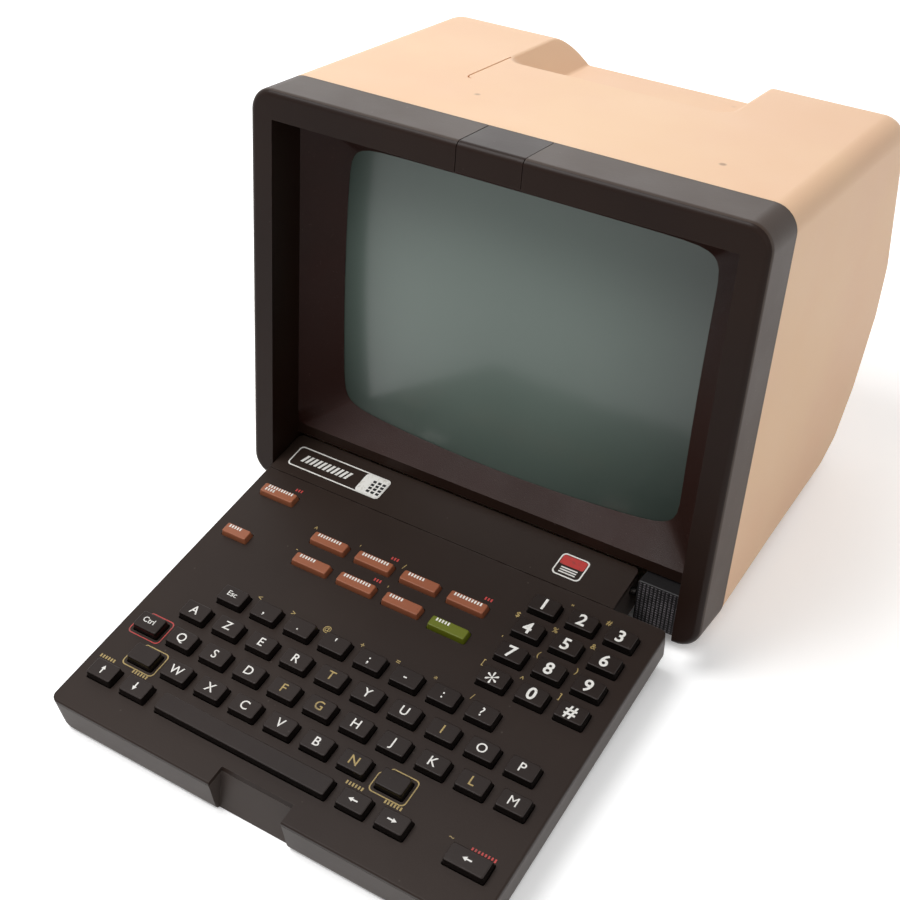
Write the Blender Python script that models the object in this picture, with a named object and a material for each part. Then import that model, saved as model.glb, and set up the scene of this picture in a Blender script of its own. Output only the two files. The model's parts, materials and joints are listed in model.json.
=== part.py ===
"""Desk computer terminal with a keyboard that folds up over its screen.

Lengths are in metres, +Z is up, and the terminal stands on the plane z = 0.
Three frames carry the pieces. The desk frame is level. The body frame leans back with the cabinet:
its origin is the foot of the bezel's front plane, Y runs back and Z runs up along the bezel.
The key panel frame lies on top of the keyboard, with Y running back and Z up out of the keys.
"""

from math import cos, pi, radians, sin, sqrt, tan

import bmesh
import bpy
from mathutils import Vector

# Angles of the open terminal
body_lean = radians(12.66)
keyboard_slope = radians(2.5)
smooth_angle = radians(32)

# Clearances and cutting
gap = 0.0003
running_gap = 0.0006
overrun = 0.004

# Bezel
bezel_width = 0.2455
bezel_height = 0.1962
band_depth = 0.026
bezel_corner = 0.011
bezel_front_round = 0.003
arm_width = 0.01225
arm_drop = 0.0037
top_bar = 0.0132
pocket_depth = 0.021
lip_top = 0.019
lip_bottom = 0.0135
mask_wall = 0.004
mask_rear_wall = 0.006
mask_depth = 0.038
mask_square_power = 60
back_wall_front = 0.0284
back_wall_thickness = 0.0025
back_wall_low = -0.0125
back_wall_high = 0.022
lug_thickness = 0.002
lug_radius = 0.0052

# Picture tube
aperture_side_margin = 0.0185
aperture_end_margin = 0.01175
aperture_drop = 0.00225
aperture_power = 16
aperture_bow_share = 0.035
face_front = 0.028
face_radius = 0.86
tube_overlap = 0.0035
rim_depth = 0.018
funnel_end = 0.132
neck_radius = 0.011
neck_end = 0.178
band_lead = 0.003
band_width = 0.012
band_thickness = 0.0015
ear_size = 0.009
ear_thickness = 0.002
ear_side_margin = 0.0105
ear_end_margin = 0.00625
boss_radius = 0.0042
yoke_front = 0.1335
yoke_depth = 0.027
yoke_flange_radius = 0.034
yoke_back_radius = 0.021
yoke_rim_radius = 0.0231
yoke_flange = 0.0045
neck_board_size = 0.05
board_thickness = 0.0016

# Cabinet shell
shell_wall = 0.0027
shell_side_round = 0.011
shell_narrowing = 0.0008
shell_front_low = -0.0042
shell_front_slope_share = 0.1
shell_middle_back = 0.0832
shell_middle_low = 0.0055
shell_heel_back = 0.1497
shell_heel_low = 0.0132
shell_tail_back = 0.1686
shell_tail_low = 0.0222
shell_haunch_back = 0.1858
shell_haunch_low = 0.0475
shell_rear = 0.1988
shell_rear_low = 0.086
shell_rear_high = 0.115
shell_top_set_back = 0.029
profile_round = 0.018
recess_rim_half_width = 0.0575
recess_floor_half_width = 0.044
recess_front = 0.110
recess_corner = 0.009
recess_floor_drop = 0.0142
recess_slope_run = 0.0135
recess_fillet = 0.003
groove_front = 0.075
groove_back = 0.117
groove_width = 0.0011
groove_depth = 0.0009

# Pieces in the rear wall, by their centres
socket_from_side = 0.06475
socket_radius = 0.0085
socket_depth = 0.016
socket_bore_depth = 0.009
line_gland_from_side = 0.08875
mains_gland_from_side = 0.05675
gland_radius = 0.0042
gland_lip = 0.0065
gland_length = 0.015
knob_from_side = 0.03475
knob_radius = 0.0095
knob_height = 0.006
knob_shaft_radius = 0.003
knob_shaft_length = 0.014
port_lip = 0.0015

# Base cover and feet
cover_from_side = 0.01875
cover_wall = 0.0025
cover_clearance = 0.003
cover_before_heel = 0.0037
cover_height = 0.018
foot_radius = 0.008
foot_tread_radius = 0.0072
foot_stud_radius = 0.0025
foot_from_cover_side = 0.024
front_foot_behind_wall = 0.0131
rear_foot_before_rear = 0.014
post_radius = 0.003
post_from_board_side = 0.010
front_post_behind_front = 0.013
rear_post_before_rear = 0.008

# Electronics on the main board
main_board_side_margin = 0.009
main_board_behind_wall = 0.0161
main_board_before_rear = 0.004
main_board_height = 0.0095
component_space = 0.006
mains_transformer_width = 0.048
mains_transformer_depth = 0.042
mains_transformer_height = 0.038
mains_transformer_from_side = 0.023
mains_transformer_from_rear = 0.027
winding_bulge = 0.005
winding_cheek = 0.0076
flyback_width = 0.030
flyback_depth = 0.032
flyback_height = 0.046
flyback_from_side = 0.017
flyback_from_rear = 0.027
flyback_cap_radius = 0.011
flyback_cap_height = 0.008
capacitor_radius = 0.012
capacitor_height = 0.036
capacitor_edge = 0.0012
capacitor_from_rear = 0.017
heat_sink_width = 0.030
heat_sink_depth = 0.020
heat_sink_height = 0.032
heat_sink_from_rear = 0.018
heat_sink_fins = 5
heat_sink_base = 0.004
buzzer_radius = 0.010
buzzer_height = 0.008
buzzer_right_of_middle = 0.020
buzzer_from_front = 0.015
buzzer_hole = 0.0025

# Power button and its switch
button_width = 0.0237
button_side_gap = 0.0006
button_low = -0.010
button_high = 0.0125
button_face = 0.013
button_travel = 0.0035
button_round = 0.0006
stem_from_left = 0.0068
stem_height = 0.002
stem_half = 0.0035
stem_in_switch = 0.0045
switch_half_width = 0.0062
switch_half_height = 0.006
switch_depth = 0.0145

# Latch button
latch_left = -0.0156
latch_right = 0.0155
latch_travel = 0.0022
latch_back_gap = 0.0007
latch_spring_space = 0.0016

# Hinge
hinge_back = 0.0145
hinge_height = 0.00429
hinge_from_rear = 0.0108
hinge_below_panel = 0.0055
pin_radius = 0.00175
pin_in_arm = 0.0065
pin_in_block = 0.0098
right_pin_in_block = 0.0088
block_reach = 0.0060
block_depth = 0.0118
right_block_depth = 0.011

# Keyboard case
keyboard_side_gap = 0.0007
keyboard_end_gap = 0.00121
keyboard_rear = 0.001
keyboard_thickness = 0.020
keyboard_corner = 0.004
panel_thickness = 0.002
panel_edge_round = 0.0008
case_wall = 0.0022
case_bottom_inset = 0.0015
case_bottom_rise = 0.003
case_side_draft = 0.0017
skirt_depth = 0.006
skirt_thickness = 0.0015
skirt_rear = 0.0315
pocket_side_gap = 0.0032
pocket_front = 0.0283
pocket_corner = 0.003
panel_rear_corner = 0.004
crease_width = 0.0006
crease_depth = 0.0005
notch_left = -0.0203
notch_right = 0.0172
notch_top_depth = 0.0095
notch_foot_depth = 0.0018
rest_ridge_height = 0.0005
rest_ridge_from_front = 0.0063
rest_ridge_depth = 0.004
rest_ridge_length = 0.030
rest_ridge_x = 0.075

# Keyboard insides
key_board_side_margin = 0.0118
key_board_rear_margin = 0.0077
key_board_front_margin = 0.0143
key_mat_thickness = 0.0015
key_post_radius = 0.003
key_post_side_margin = 0.008
key_post_end_margin = 0.006

# Keys: the lettered rows fill the field between the margins
key_left_margin = 0.01465
key_right_margin = 0.01445
key_front_margin = 0.02148
key_spacing_across = 0.00505
key_spacing_along = 0.00568
cap_taper = 0.00045
cap_height = 0.0038
cap_corner = 0.0008
cap_edge = 0.0005
flange_margin = 0.0011
flange_thickness = 0.0015
key_gap = 0.0003
key_travel = 0.0025
function_height = 0.0027

# Keys in each row
punctuation_count = 8
top_letter_count = 10
middle_letter_count = 11
bottom_letter_count = 8
arrow_count = 2
upper_function_count = 4
lower_function_count = 3
keypad_columns = 3
# Rows of letters, counted from the row of the space bar
bottom_letter_row = 1
middle_letter_row = 2
top_letter_row = 3
punctuation_row = 4
# Places and widths across, as shares of the letter pitch, counted from the control key
punctuation_share = 1.2625
top_letters_share = 0.7486
bottom_letters_share = 0.5045
left_arrows_share = -0.04
right_arrows_share = 7.0367
arrow_pitch_share = 0.992
space_share = 4.026
space_width_share = 4.761
return_share = 9.861
return_width_share = 1.008
keypad_share = 7.9827
keypad_pitch_share = 0.9927
function_share = 2.29
function_pitch_share = 1.336
function_width_share = 1.05
left_function_share = 0.135
narrow_function_share = -0.01
narrow_width_share = 0.766
send_share = 6.308
send_width_share = 1.04
# Rows along, as shares of the field between the pocket and the front row
row_pitch_share = 0.1103
keypad_row_share = 0.1067
keypad_row_pitch_share = 0.1073
function_upper_row_share = 0.2087
function_lower_row_share = 0.3141
left_function_row_share = 0.1025
narrow_function_row_share = 0.3192
send_row_share = 0.3264
function_length_share = 0.0477

# Faces along a quarter turn, round a small rod and round a large one
round_steps = 4
corner_steps = 3
small_sides = 12
large_sides = 24

# Points along one side of the screen's outline, as shares of its half length
side_shares = (-1, -0.93, -0.82, -0.6, -0.3, 0, 0.3, 0.6, 0.82, 0.93)
# Rings of the tube's face, as shares of its outline
face_shares = (0.75, 0.45, 0.18)
# Stations of the funnel: how far along it they lie, and how round they are there
funnel_shares = ((0.25, 0.24), (0.5, 0.5), (0.72, 0.74), (0.88, 0.9), (1, 1))

# Worked out from the sizes above: cabinet
half_width = bezel_width / 2
opening_half_width = half_width - arm_width
opening_top = bezel_height - top_bar
aperture_half_width = opening_half_width - aperture_side_margin
aperture_half_height = (opening_top - lip_top) / 2 - aperture_end_margin
aperture_height = (opening_top + lip_top) / 2 - aperture_drop
ear_reach = aperture_half_width + ear_side_margin
ear_height = aperture_half_height + ear_end_margin
back_wall_rear = back_wall_front + back_wall_thickness
rear_port_height = (shell_rear_low + shell_rear_high) / 2
socket_x = socket_from_side - half_width
knob_x = knob_from_side - half_width
line_gland_x = half_width - line_gland_from_side
mains_gland_x = half_width - mains_gland_from_side
shell_top_rear = shell_rear - shell_top_set_back

# Worked out: keyboard and its place
keyboard_width = 2 * (opening_half_width - keyboard_side_gap)
keyboard_half_width = keyboard_width / 2
keyboard_front = opening_top - keyboard_end_gap - hinge_height + hinge_from_rear
axis_above_desk = (
    (keyboard_front - rest_ridge_from_front - hinge_from_rear) * sin(keyboard_slope)
    + (keyboard_thickness + rest_ridge_height - hinge_below_panel) * cos(keyboard_slope)
)
body_above_desk = axis_above_desk + hinge_back * sin(body_lean) - hinge_height * cos(body_lean)
axis_back_of_body = hinge_back * cos(body_lean) + hinge_height * sin(body_lean)
button_right = opening_half_width - button_side_gap
button_left = button_right - button_width
pocket_left = button_left - pocket_side_gap
stem_x = button_left + stem_from_left
button_depth = back_wall_front - button_face - button_travel - running_gap
stem_end = back_wall_rear + gap + stem_in_switch - button_face
switch_bore_depth = stem_in_switch + button_travel + gap
latch_step_back = pocket_depth - latch_back_gap
latch_step = latch_travel + latch_spring_space
key_board_top = panel_thickness + flange_thickness + key_travel + key_mat_thickness + 3 * gap
lug_left = (pocket_left + button_left - lug_thickness) / 2
left_pin_end = -opening_half_width - pin_in_arm
left_pin_start = pin_in_block - keyboard_half_width
right_pin_start = pocket_left - right_pin_in_block
left_block_end = block_depth - keyboard_half_width
right_block_start = pocket_left - right_block_depth

# Worked out: base cover and boards
cover_half_width = half_width - cover_from_side
back_wall_half_width = cover_half_width
cover_rear = shell_heel_back - cover_before_heel
cover_floor_top = cover_clearance + cover_wall
foot_x = cover_half_width - foot_from_cover_side
front_foot_y = back_wall_rear + front_foot_behind_wall
rear_foot_y = cover_rear - rear_foot_before_rear
board_top = main_board_height + board_thickness
main_board_half_width = cover_half_width - main_board_side_margin
main_board_front = back_wall_rear + main_board_behind_wall
main_board_rear = cover_rear - main_board_before_rear
mains_transformer_x = mains_transformer_from_side - main_board_half_width
capacitor_x = mains_transformer_x + mains_transformer_width / 2 + component_space + capacitor_radius
flyback_x = main_board_half_width - flyback_from_side
heat_sink_x = flyback_x - (flyback_width + heat_sink_width) / 2 - component_space
post_x = main_board_half_width - post_from_board_side
front_post_y = main_board_front + front_post_behind_front
rear_post_y = main_board_rear - rear_post_before_rear
key_board_half_width = keyboard_half_width - key_board_side_margin
key_board_rear = pocket_front + key_board_rear_margin
key_board_front = keyboard_front - key_board_front_margin
key_post_x = key_board_half_width - key_post_side_margin

# Worked out: key field
control_x = key_left_margin - keyboard_half_width
letter_pitch = (keyboard_width - key_left_margin - key_right_margin) / (middle_letter_count - 1)
key_field = keyboard_front - key_front_margin - pocket_front
row_pitch = key_field * row_pitch_share
front_row_u = pocket_front + key_field
cap_width = letter_pitch - key_spacing_across
cap_length = row_pitch - key_spacing_along
function_length = key_field * function_length_share


def remove_everything():
    for item in list(bpy.data.objects):
        bpy.data.objects.remove(item, do_unlink=True)


def plastic(name, colour, roughness, metallic=0.0):
    finish = bpy.data.materials.new(name)
    finish.use_nodes = True
    shader = finish.node_tree.nodes["Principled BSDF"]
    shader.inputs["Base Color"].default_value = (*colour, 1)
    shader.inputs["Roughness"].default_value = roughness
    shader.inputs["Metallic"].default_value = metallic
    finish.diffuse_color = (*colour, 1)
    return finish


def empty(name, place=(0, 0, 0), turn_about_x=0.0, parent=None):
    holder = bpy.data.objects.new(name, None)
    bpy.context.scene.collection.objects.link(holder)
    holder.location = place
    holder.rotation_euler = (turn_about_x, 0, 0)
    holder.parent = parent
    return holder


def piece(name, solid, parent, finish, place=(0, 0, 0)):
    mesh = bpy.data.meshes.new(name)
    solid.to_mesh(mesh)
    solid.free()
    mesh.shade_smooth()
    mesh.set_sharp_from_angle(angle=smooth_angle)
    mesh.materials.append(finish)
    item = bpy.data.objects.new(name, mesh)
    bpy.context.scene.collection.objects.link(item)
    item.parent = parent
    item.location = place
    return item


def loft(loops):
    """A closed solid through a list of loops, each with as many points as the next."""
    solid = bmesh.new()
    rings = [[solid.verts.new(point) for point in loop] for loop in loops]
    count = len(rings[0])
    for ring, following in zip(rings, rings[1:]):
        for i in range(count):
            j = (i + 1) % count
            solid.faces.new((ring[i], ring[j], following[j], following[i]))
    solid.faces.new(rings[0])
    solid.faces.new(rings[-1])
    bmesh.ops.recalc_face_normals(solid, faces=solid.faces)
    return solid


def box(low, high):
    corners = ((low[0], low[1]), (high[0], low[1]), (high[0], high[1]), (low[0], high[1]))
    return loft([[(x, y, z) for x, y in corners] for z in (low[2], high[2])])


def prism_along_x(profile, low, high):
    return loft([[(x, y, z) for y, z in profile] for x in (low, high)])


def circle(radius, sides):
    return [(radius * cos(2 * pi * i / sides), radius * sin(2 * pi * i / sides)) for i in range(sides)]


def rod_along_x(radius, low, high, centre, sides=small_sides):
    ring = circle(radius, sides)
    return loft([[(x, centre[0] + a, centre[1] + b) for a, b in ring] for x in (low, high)])


def rod_along_y(radius, low, high, centre, sides=small_sides):
    return stepped_along_y(((radius, low), (radius, high)), centre, sides)


def stepped_along_y(stations, centre, sides=small_sides):
    """A turned solid along Y, from pairs of radius and place along it."""
    return loft([[(centre[0] + a, y, centre[1] + b) for a, b in circle(radius, sides)]
                 for radius, y in stations])


def stepped_along_z(stations, centre, sides=small_sides):
    """A turned solid along Z, from pairs of radius and height."""
    return loft([[(centre[0] + a, centre[1] + b, z) for a, b in circle(radius, sides)]
                 for radius, z in stations])


def combined(base, tool, operation):
    """The Boolean of two solids. Both are used up."""
    holders = []
    for solid in (base, tool):
        mesh = bpy.data.meshes.new("boolean work")
        solid.to_mesh(mesh)
        solid.free()
        holder = bpy.data.objects.new("boolean work", mesh)
        bpy.context.scene.collection.objects.link(holder)
        holders.append(holder)
    target, cutter = holders
    cutter.hide_render = True
    cutter.display_type = "WIRE"
    step = target.modifiers.new("Boolean", "BOOLEAN")
    step.operation = operation
    step.solver = "EXACT"
    step.object = cutter
    shown = target.evaluated_get(bpy.context.evaluated_depsgraph_get())
    result = bmesh.new()
    result.from_mesh(shown.to_mesh())
    shown.to_mesh_clear()
    for holder in holders:
        mesh = holder.data
        bpy.data.objects.remove(holder)
        bpy.data.meshes.remove(mesh)
    bmesh.ops.dissolve_degenerate(result, edges=result.edges, dist=gap / 100)
    return result


def cut(base, *tools):
    for tool in tools:
        base = combined(base, tool, "DIFFERENCE")
    return base


def joined(base, *tools):
    for tool in tools:
        base = combined(base, tool, "UNION")
    return base


def several(solids):
    """Solids that don't meet, as one tool for a Boolean."""
    group = bmesh.new()
    for solid in solids:
        mesh = bpy.data.meshes.new("group work")
        solid.to_mesh(mesh)
        solid.free()
        group.from_mesh(mesh)
        bpy.data.meshes.remove(mesh)
    return group


def filleted(points, radii, steps):
    """The corners of a convex outline, each replaced by an arc with the same number of points."""
    outline = []
    count = len(points)
    for i in range(count):
        corner = Vector(points[i])
        towards = (Vector(points[i - 1]) - corner).normalized()
        away = (Vector(points[(i + 1) % count]) - corner).normalized()
        half_angle = towards.angle(away) / 2
        reach = radii[i] / tan(half_angle)
        centre = corner + (towards + away).normalized() * (radii[i] / sin(half_angle))
        start = corner + towards * reach - centre
        end = corner + away * reach - centre
        sweep = start.angle(end)
        for step in range(steps + 1):
            share = step / steps
            spoke = start * sin((1 - share) * sweep) + end * sin(share * sweep)
            outline.append(tuple(centre + spoke / sin(sweep)))
    return outline


def inset(points, distance):
    """A convex outline, drawn the other way round from a clock, moved inwards by a distance."""
    moved = []
    count = len(points)
    for i in range(count):
        corner = Vector(points[i])
        along_in = (corner - Vector(points[i - 1])).normalized()
        along_out = (Vector(points[(i + 1) % count]) - corner).normalized()
        normal_in = Vector((-along_in.y, along_in.x))
        normal_out = Vector((-along_out.y, along_out.x))
        share = 1 + normal_in.dot(normal_out)
        moved.append(tuple(corner + (normal_in + normal_out) * (distance / share)))
    return moved


def rounded_rectangle(low, high, radius, steps=corner_steps):
    corners = [(low[0], low[1]), (high[0], low[1]), (high[0], high[1]), (low[0], high[1])]
    return filleted(corners, [radius] * len(corners), steps)


def barrel_outline(half_across, half_up, centre_up, power, bow_share=0):
    """A rectangle whose top and bottom swell and whose corners are round, like the outline of a picture tube."""
    square = []
    for share in side_shares:
        square.append((share, -1))
    for share in side_shares:
        square.append((1, share))
    for share in side_shares:
        square.append((-share, 1))
    for share in side_shares:
        square.append((-1, -share))
    outline = []
    for a, b in square:
        reach = (abs(a) ** power + abs(b) ** power) ** (-1 / power)
        bow = 1 - bow_share * a * a
        outline.append((a * reach * half_across, centre_up + b * reach * half_up * bow))
    return outline


def face_depth(x, z):
    """How far back the glass lies behind the bezel's front plane."""
    return face_front + (x * x + (z - aperture_height) ** 2) / (2 * face_radius)


def desk_y_of_body_plane(body_y, z):
    return (body_y + (z - body_above_desk) * sin(body_lean)) / cos(body_lean)


def pocket_loop(y, grow=0.0):
    half_up = (opening_top - lip_top) / 2 + grow
    centre_up = (opening_top + lip_top) / 2
    return [(x, y, z) for x, z in
            barrel_outline(opening_half_width + grow, half_up, centre_up, mask_square_power)]


def aperture_loop(grow, back=None):
    outline = barrel_outline(aperture_half_width + grow, aperture_half_height + grow,
                             aperture_height, aperture_power, aperture_bow_share)
    return [(x, face_depth(x, z) if back is None else back, z) for x, z in outline]


def band_solid():
    outline_low = (-half_width, -arm_drop)
    outline_high = (half_width, bezel_height)
    loops = []
    for step in range(round_steps + 1):
        turn = pi / 2 * step / round_steps
        margin = bezel_front_round * (1 - sin(turn))
        y = bezel_front_round * (1 - cos(turn))
        low = [value + margin for value in outline_low]
        high = [value - margin for value in outline_high]
        loops.append([(x, y, z) for x, z in rounded_rectangle(low, high, bezel_corner - margin)])
    full = rounded_rectangle(outline_low, outline_high, bezel_corner)
    loops.append([(x, band_depth, z) for x, z in full])
    return loft(loops)


def face_rings(grow, forward):
    """The curved face of the tube, from its middle out to its rim."""
    rim = aperture_loop(grow)
    rings = []
    for share in reversed(face_shares):
        ring = [(x * share, aperture_height + (z - aperture_height) * share) for x, _, z in rim]
        rings.append([(x, face_depth(x, z) - forward, z) for x, z in ring])
    rings.append([(x, y - forward, z) for x, y, z in rim])
    return rings


def tube_seat():
    grow = tube_overlap + gap
    return loft(face_rings(grow, gap) + [aperture_loop(grow, mask_depth + overrun)])


def front_bezel(parent, finish):
    below = -arm_drop - overrun
    pocket = box((-opening_half_width, -overrun, below),
                 (opening_half_width, pocket_depth, opening_top))
    undercut = box((-opening_half_width, -overrun, below),
                   (opening_half_width, band_depth + overrun, lip_bottom))
    solid = cut(band_solid(), pocket, undercut)

    mask_front = band_depth - (band_depth - pocket_depth) / 2
    mask = loft([pocket_loop(mask_front, mask_wall / 2), aperture_loop(mask_rear_wall, mask_depth)])
    back_wall = box((-back_wall_half_width, back_wall_front, back_wall_low),
                    (back_wall_half_width, back_wall_rear, back_wall_high))
    ear_front = rim_start() + band_lead + ear_thickness
    bosses = []
    for x in (-ear_reach + ear_size / 2, ear_reach - ear_size / 2):
        for z in (aperture_height - ear_height + ear_size / 2, aperture_height + ear_height - ear_size / 2):
            bosses.append(rod_along_y(boss_radius, back_wall_rear - gap, ear_front - gap, (x, z)))
    solid = joined(solid, mask, back_wall)
    solid = joined(solid, several(bosses))

    lug = box((lug_left, hinge_back - lug_radius, hinge_height - lug_radius),
              (lug_left + lug_thickness, back_wall_front + gap, hinge_height + lug_radius))
    solid = joined(solid, lug)

    opening = loft([pocket_loop(pocket_depth - gap), pocket_loop(pocket_depth),
                    [(x, y - gap, z) for x, y, z in aperture_loop(0)],
                    aperture_loop(0, mask_depth + overrun)])
    latch_slot = box((latch_left - gap, -overrun, opening_top - gap),
                     (latch_right + gap, band_depth + overrun, bezel_height + overrun))
    stem_hole = box((stem_x - stem_half - gap, back_wall_front - overrun, stem_height - stem_half - gap),
                    (stem_x + stem_half + gap, back_wall_rear + overrun, stem_height + stem_half + gap))
    left_bore = rod_along_x(pin_radius + gap, left_pin_end - gap, -opening_half_width + overrun,
                            (hinge_back, hinge_height))
    right_bore = rod_along_x(pin_radius + gap, lug_left - overrun, lug_left + lug_thickness + overrun,
                             (hinge_back, hinge_height))
    solid = cut(solid, opening, tube_seat(), latch_slot, stem_hole, left_bore, right_bore)
    return piece("front_bezel", solid, parent, finish)


def rim_start():
    """Where the straight rim of the tube begins, behind the lowest point of its curved face."""
    corner_x = aperture_half_width + tube_overlap
    corner_z = aperture_half_height + tube_overlap
    return face_depth(corner_x, aperture_height + corner_z) + gap


def funnel_loop(y, roundness):
    loop = []
    for x, _, z in aperture_loop(tube_overlap):
        up = z - aperture_height
        distance = sqrt(x * x + up * up)
        neck_x = x / distance * neck_radius
        neck_z = up / distance * neck_radius
        loop.append((x + (neck_x - x) * roundness, y, aperture_height + up + (neck_z - up) * roundness))
    return loop


def picture_tube(parent, finish):
    loops = face_rings(tube_overlap, 0)
    rim_back = rim_start() + rim_depth
    loops.append(aperture_loop(tube_overlap, rim_back))
    for share, roundness in funnel_shares:
        loops.append(funnel_loop(rim_back + (funnel_end - rim_back) * share, roundness))
    loops.append(funnel_loop(neck_end, 1))
    return piece("picture_tube", loft(loops), parent, finish)


def tube_band(parent, finish):
    inner = tube_overlap + gap
    outer = inner + band_thickness
    front = rim_start() + band_lead
    back = front + band_width
    ring = loft([aperture_loop(outer, front), aperture_loop(outer, back)])
    ears = []
    for x_low in (-ear_reach, ear_reach - ear_size):
        for z_low in (aperture_height - ear_height, aperture_height + ear_height - ear_size):
            inward = ear_size if x_low < 0 else -ear_size
            x_start = min(x_low, x_low + inward)
            ears.append(box((x_start, front + ear_thickness, z_low),
                            (x_start + 2 * ear_size, front + 2 * ear_thickness, z_low + ear_size)))
    ring = joined(ring, several(ears))
    hole = loft([aperture_loop(inner, front - overrun), aperture_loop(inner, back + overrun)])
    return piece("tube_band", cut(ring, hole), parent, finish)


def deflection_yoke(parent, finish):
    centre = (0, aperture_height)
    back = yoke_front + yoke_depth
    solid = stepped_along_y(((yoke_flange_radius, yoke_front), (yoke_flange_radius, yoke_front + yoke_flange),
                             (yoke_back_radius, back - yoke_flange), (yoke_rim_radius, back - yoke_flange),
                             (yoke_rim_radius, back)), centre, large_sides)
    bore = stepped_along_y(((neck_radius + gap, yoke_front - overrun), (neck_radius + gap, back + overrun)),
                           centre, 4 * len(side_shares))
    return piece("deflection_yoke", cut(solid, bore), parent, finish)


def neck_board(parent, finish):
    half = neck_board_size / 2
    front = neck_end + gap
    solid = box((-half, front, aperture_height - half), (half, front + board_thickness, aperture_height + half))
    return piece("neck_board", solid, parent, finish)


def shell_profile():
    """Side view of the cabinet, from its front foot under the heel and round the back to the top."""
    start = band_depth - 2 * shell_side_round
    return [
        (start, shell_front_low - (band_depth - start) * shell_front_slope_share),
        (shell_middle_back, shell_middle_low),
        (shell_heel_back, shell_heel_low),
        (shell_tail_back, shell_tail_low),
        (shell_haunch_back, shell_haunch_low),
        (shell_rear, shell_rear_low),
        (shell_rear, shell_rear_high),
        (shell_top_rear, bezel_height),
        (start, bezel_height),
    ]


def shell_solid(margin):
    """The outer form of the cabinet, moved inwards by a margin."""
    corners = shell_profile()
    side_round = shell_side_round - margin
    half = half_width - margin
    loops = []
    for side in (-1, 1):
        steps = range(round_steps + 1)
        for step in (reversed(steps) if side < 0 else steps):
            turn = pi / 2 * step / round_steps
            depth = side_round * (1 - cos(turn))
            radius = profile_round - margin - depth
            outline = filleted(inset(corners, margin + depth), [radius] * len(corners), corner_steps)
            x = side * (half - side_round * (1 - sin(turn)))
            loops.append([(x * narrowing(y), y, z) for y, z in outline])
    return loft(loops)


def narrowing(y):
    """The cabinet grows a little narrower towards its back."""
    run = max(y - band_depth, 0) / (shell_rear - band_depth)
    return 1 - run * shell_narrowing / half_width


def recess_solid(margin):
    """The hollow in the cabinet's top that a hand reaches into, open to the back."""
    floor = bezel_height - recess_floor_drop - margin
    stations = (
        (floor, recess_floor_half_width - recess_fillet, recess_fillet),
        (floor + recess_fillet / 2, recess_floor_half_width, 0),
        (bezel_height, recess_rim_half_width, -recess_slope_run),
    )
    last = stations[-1]
    slope_share = overrun / (recess_floor_drop + margin)
    spread = (recess_rim_half_width - recess_floor_half_width) * slope_share
    stations += ((last[0] + overrun, last[1] + spread, last[2] - recess_slope_run * slope_share),)
    loops = []
    for z, half, back in stations:
        front = recess_front + recess_slope_run + back - margin
        corners = rounded_rectangle((-half - margin, front), (half + margin, shell_rear + overrun),
                                    recess_corner)
        loops.append([(x, y, z) for x, y in corners])
    return loft(loops)


def rear_shell(parent, finish):
    front = band_depth + gap
    cavity = cut(shell_solid(shell_wall), recess_solid(shell_wall))
    solid = cut(shell_solid(0), cavity)
    front_cut = box((-bezel_width, -bezel_width, -bezel_width), (bezel_width, front, 2 * bezel_height))
    groove_x = -recess_rim_half_width
    groove = box((groove_x - groove_width, groove_front, bezel_height - groove_depth),
                 (groove_x, groove_back, bezel_height + overrun))
    hinge_relief = box((-opening_half_width - gap, front - overrun, shell_front_low - overrun),
                       (opening_half_width + gap, back_wall_front + gap, shell_wall))
    solid = cut(solid, recess_solid(0), front_cut, groove, hinge_relief)

    cover_opening = box((-cover_half_width - gap, 0, -overrun),
                        (cover_half_width + gap, cover_rear + gap, cover_height + cover_clearance))
    lean_back(cover_opening)
    ports = several([
        rod_along_y(radius + gap, shell_rear - 3 * shell_wall, shell_rear + overrun,
                    (x, rear_port_height))
        for x, radius in ((socket_x, socket_radius), (line_gland_x, gland_radius),
                          (mains_gland_x, gland_radius), (knob_x, knob_shaft_radius))])
    return piece("rear_shell", cut(solid, cover_opening, ports), parent, finish)


def lean_back(solid):
    """Turns a solid that is drawn in the level desk frame into the body frame."""
    for vertex in solid.verts:
        x, y, z = vertex.co
        up = z - body_above_desk
        vertex.co = (x, y * cos(body_lean) - up * sin(body_lean), y * sin(body_lean) + up * cos(body_lean))


def base_cover(parent, finish):
    top = cover_clearance + cover_height
    front_plane = back_wall_rear + gap
    outline = [(desk_y_of_body_plane(front_plane, cover_clearance), cover_clearance),
               (cover_rear, cover_clearance), (cover_rear, top),
               (desk_y_of_body_plane(front_plane, top), top)]
    solid = prism_along_x(outline, -cover_half_width, cover_half_width)
    inside = cover_half_width - cover_wall
    hollow = box((-inside, -overrun, cover_floor_top), (inside, cover_rear - cover_wall, top + overrun))
    solid = cut(solid, hollow)
    posts = []
    holes = []
    for side in (-1, 1):
        for y in (front_post_y, rear_post_y):
            posts.append(stepped_along_z(((post_radius, cover_clearance + cover_wall / 2),
                                          (post_radius, main_board_height - gap)), (side * post_x, y)))
        for y in (front_foot_y, rear_foot_y):
            holes.append(stepped_along_z(((foot_stud_radius + gap, cover_clearance - overrun),
                                          (foot_stud_radius + gap, cover_floor_top + overrun)),
                                         (side * foot_x, y)))
    solid = joined(solid, several(posts))
    return piece("base_cover", cut(solid, several(holes)), parent, finish)


def foot(name, x, y, parent, finish):
    pad_top = cover_clearance - gap
    solid = stepped_along_z(((foot_tread_radius, 0), (foot_radius, pad_top / 2), (foot_radius, pad_top),
                             (foot_stud_radius, pad_top), (foot_stud_radius, cover_floor_top)), (0, 0))
    return piece(name, solid, parent, finish, (x, y, 0))


def on_board(x, from_rear):
    return (x, main_board_rear - from_rear, board_top + gap)


def main_board(parent, finish):
    solid = box((-main_board_half_width, main_board_front, main_board_height),
                (main_board_half_width, main_board_rear, board_top))
    return piece("main_board", solid, parent, finish)


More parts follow.
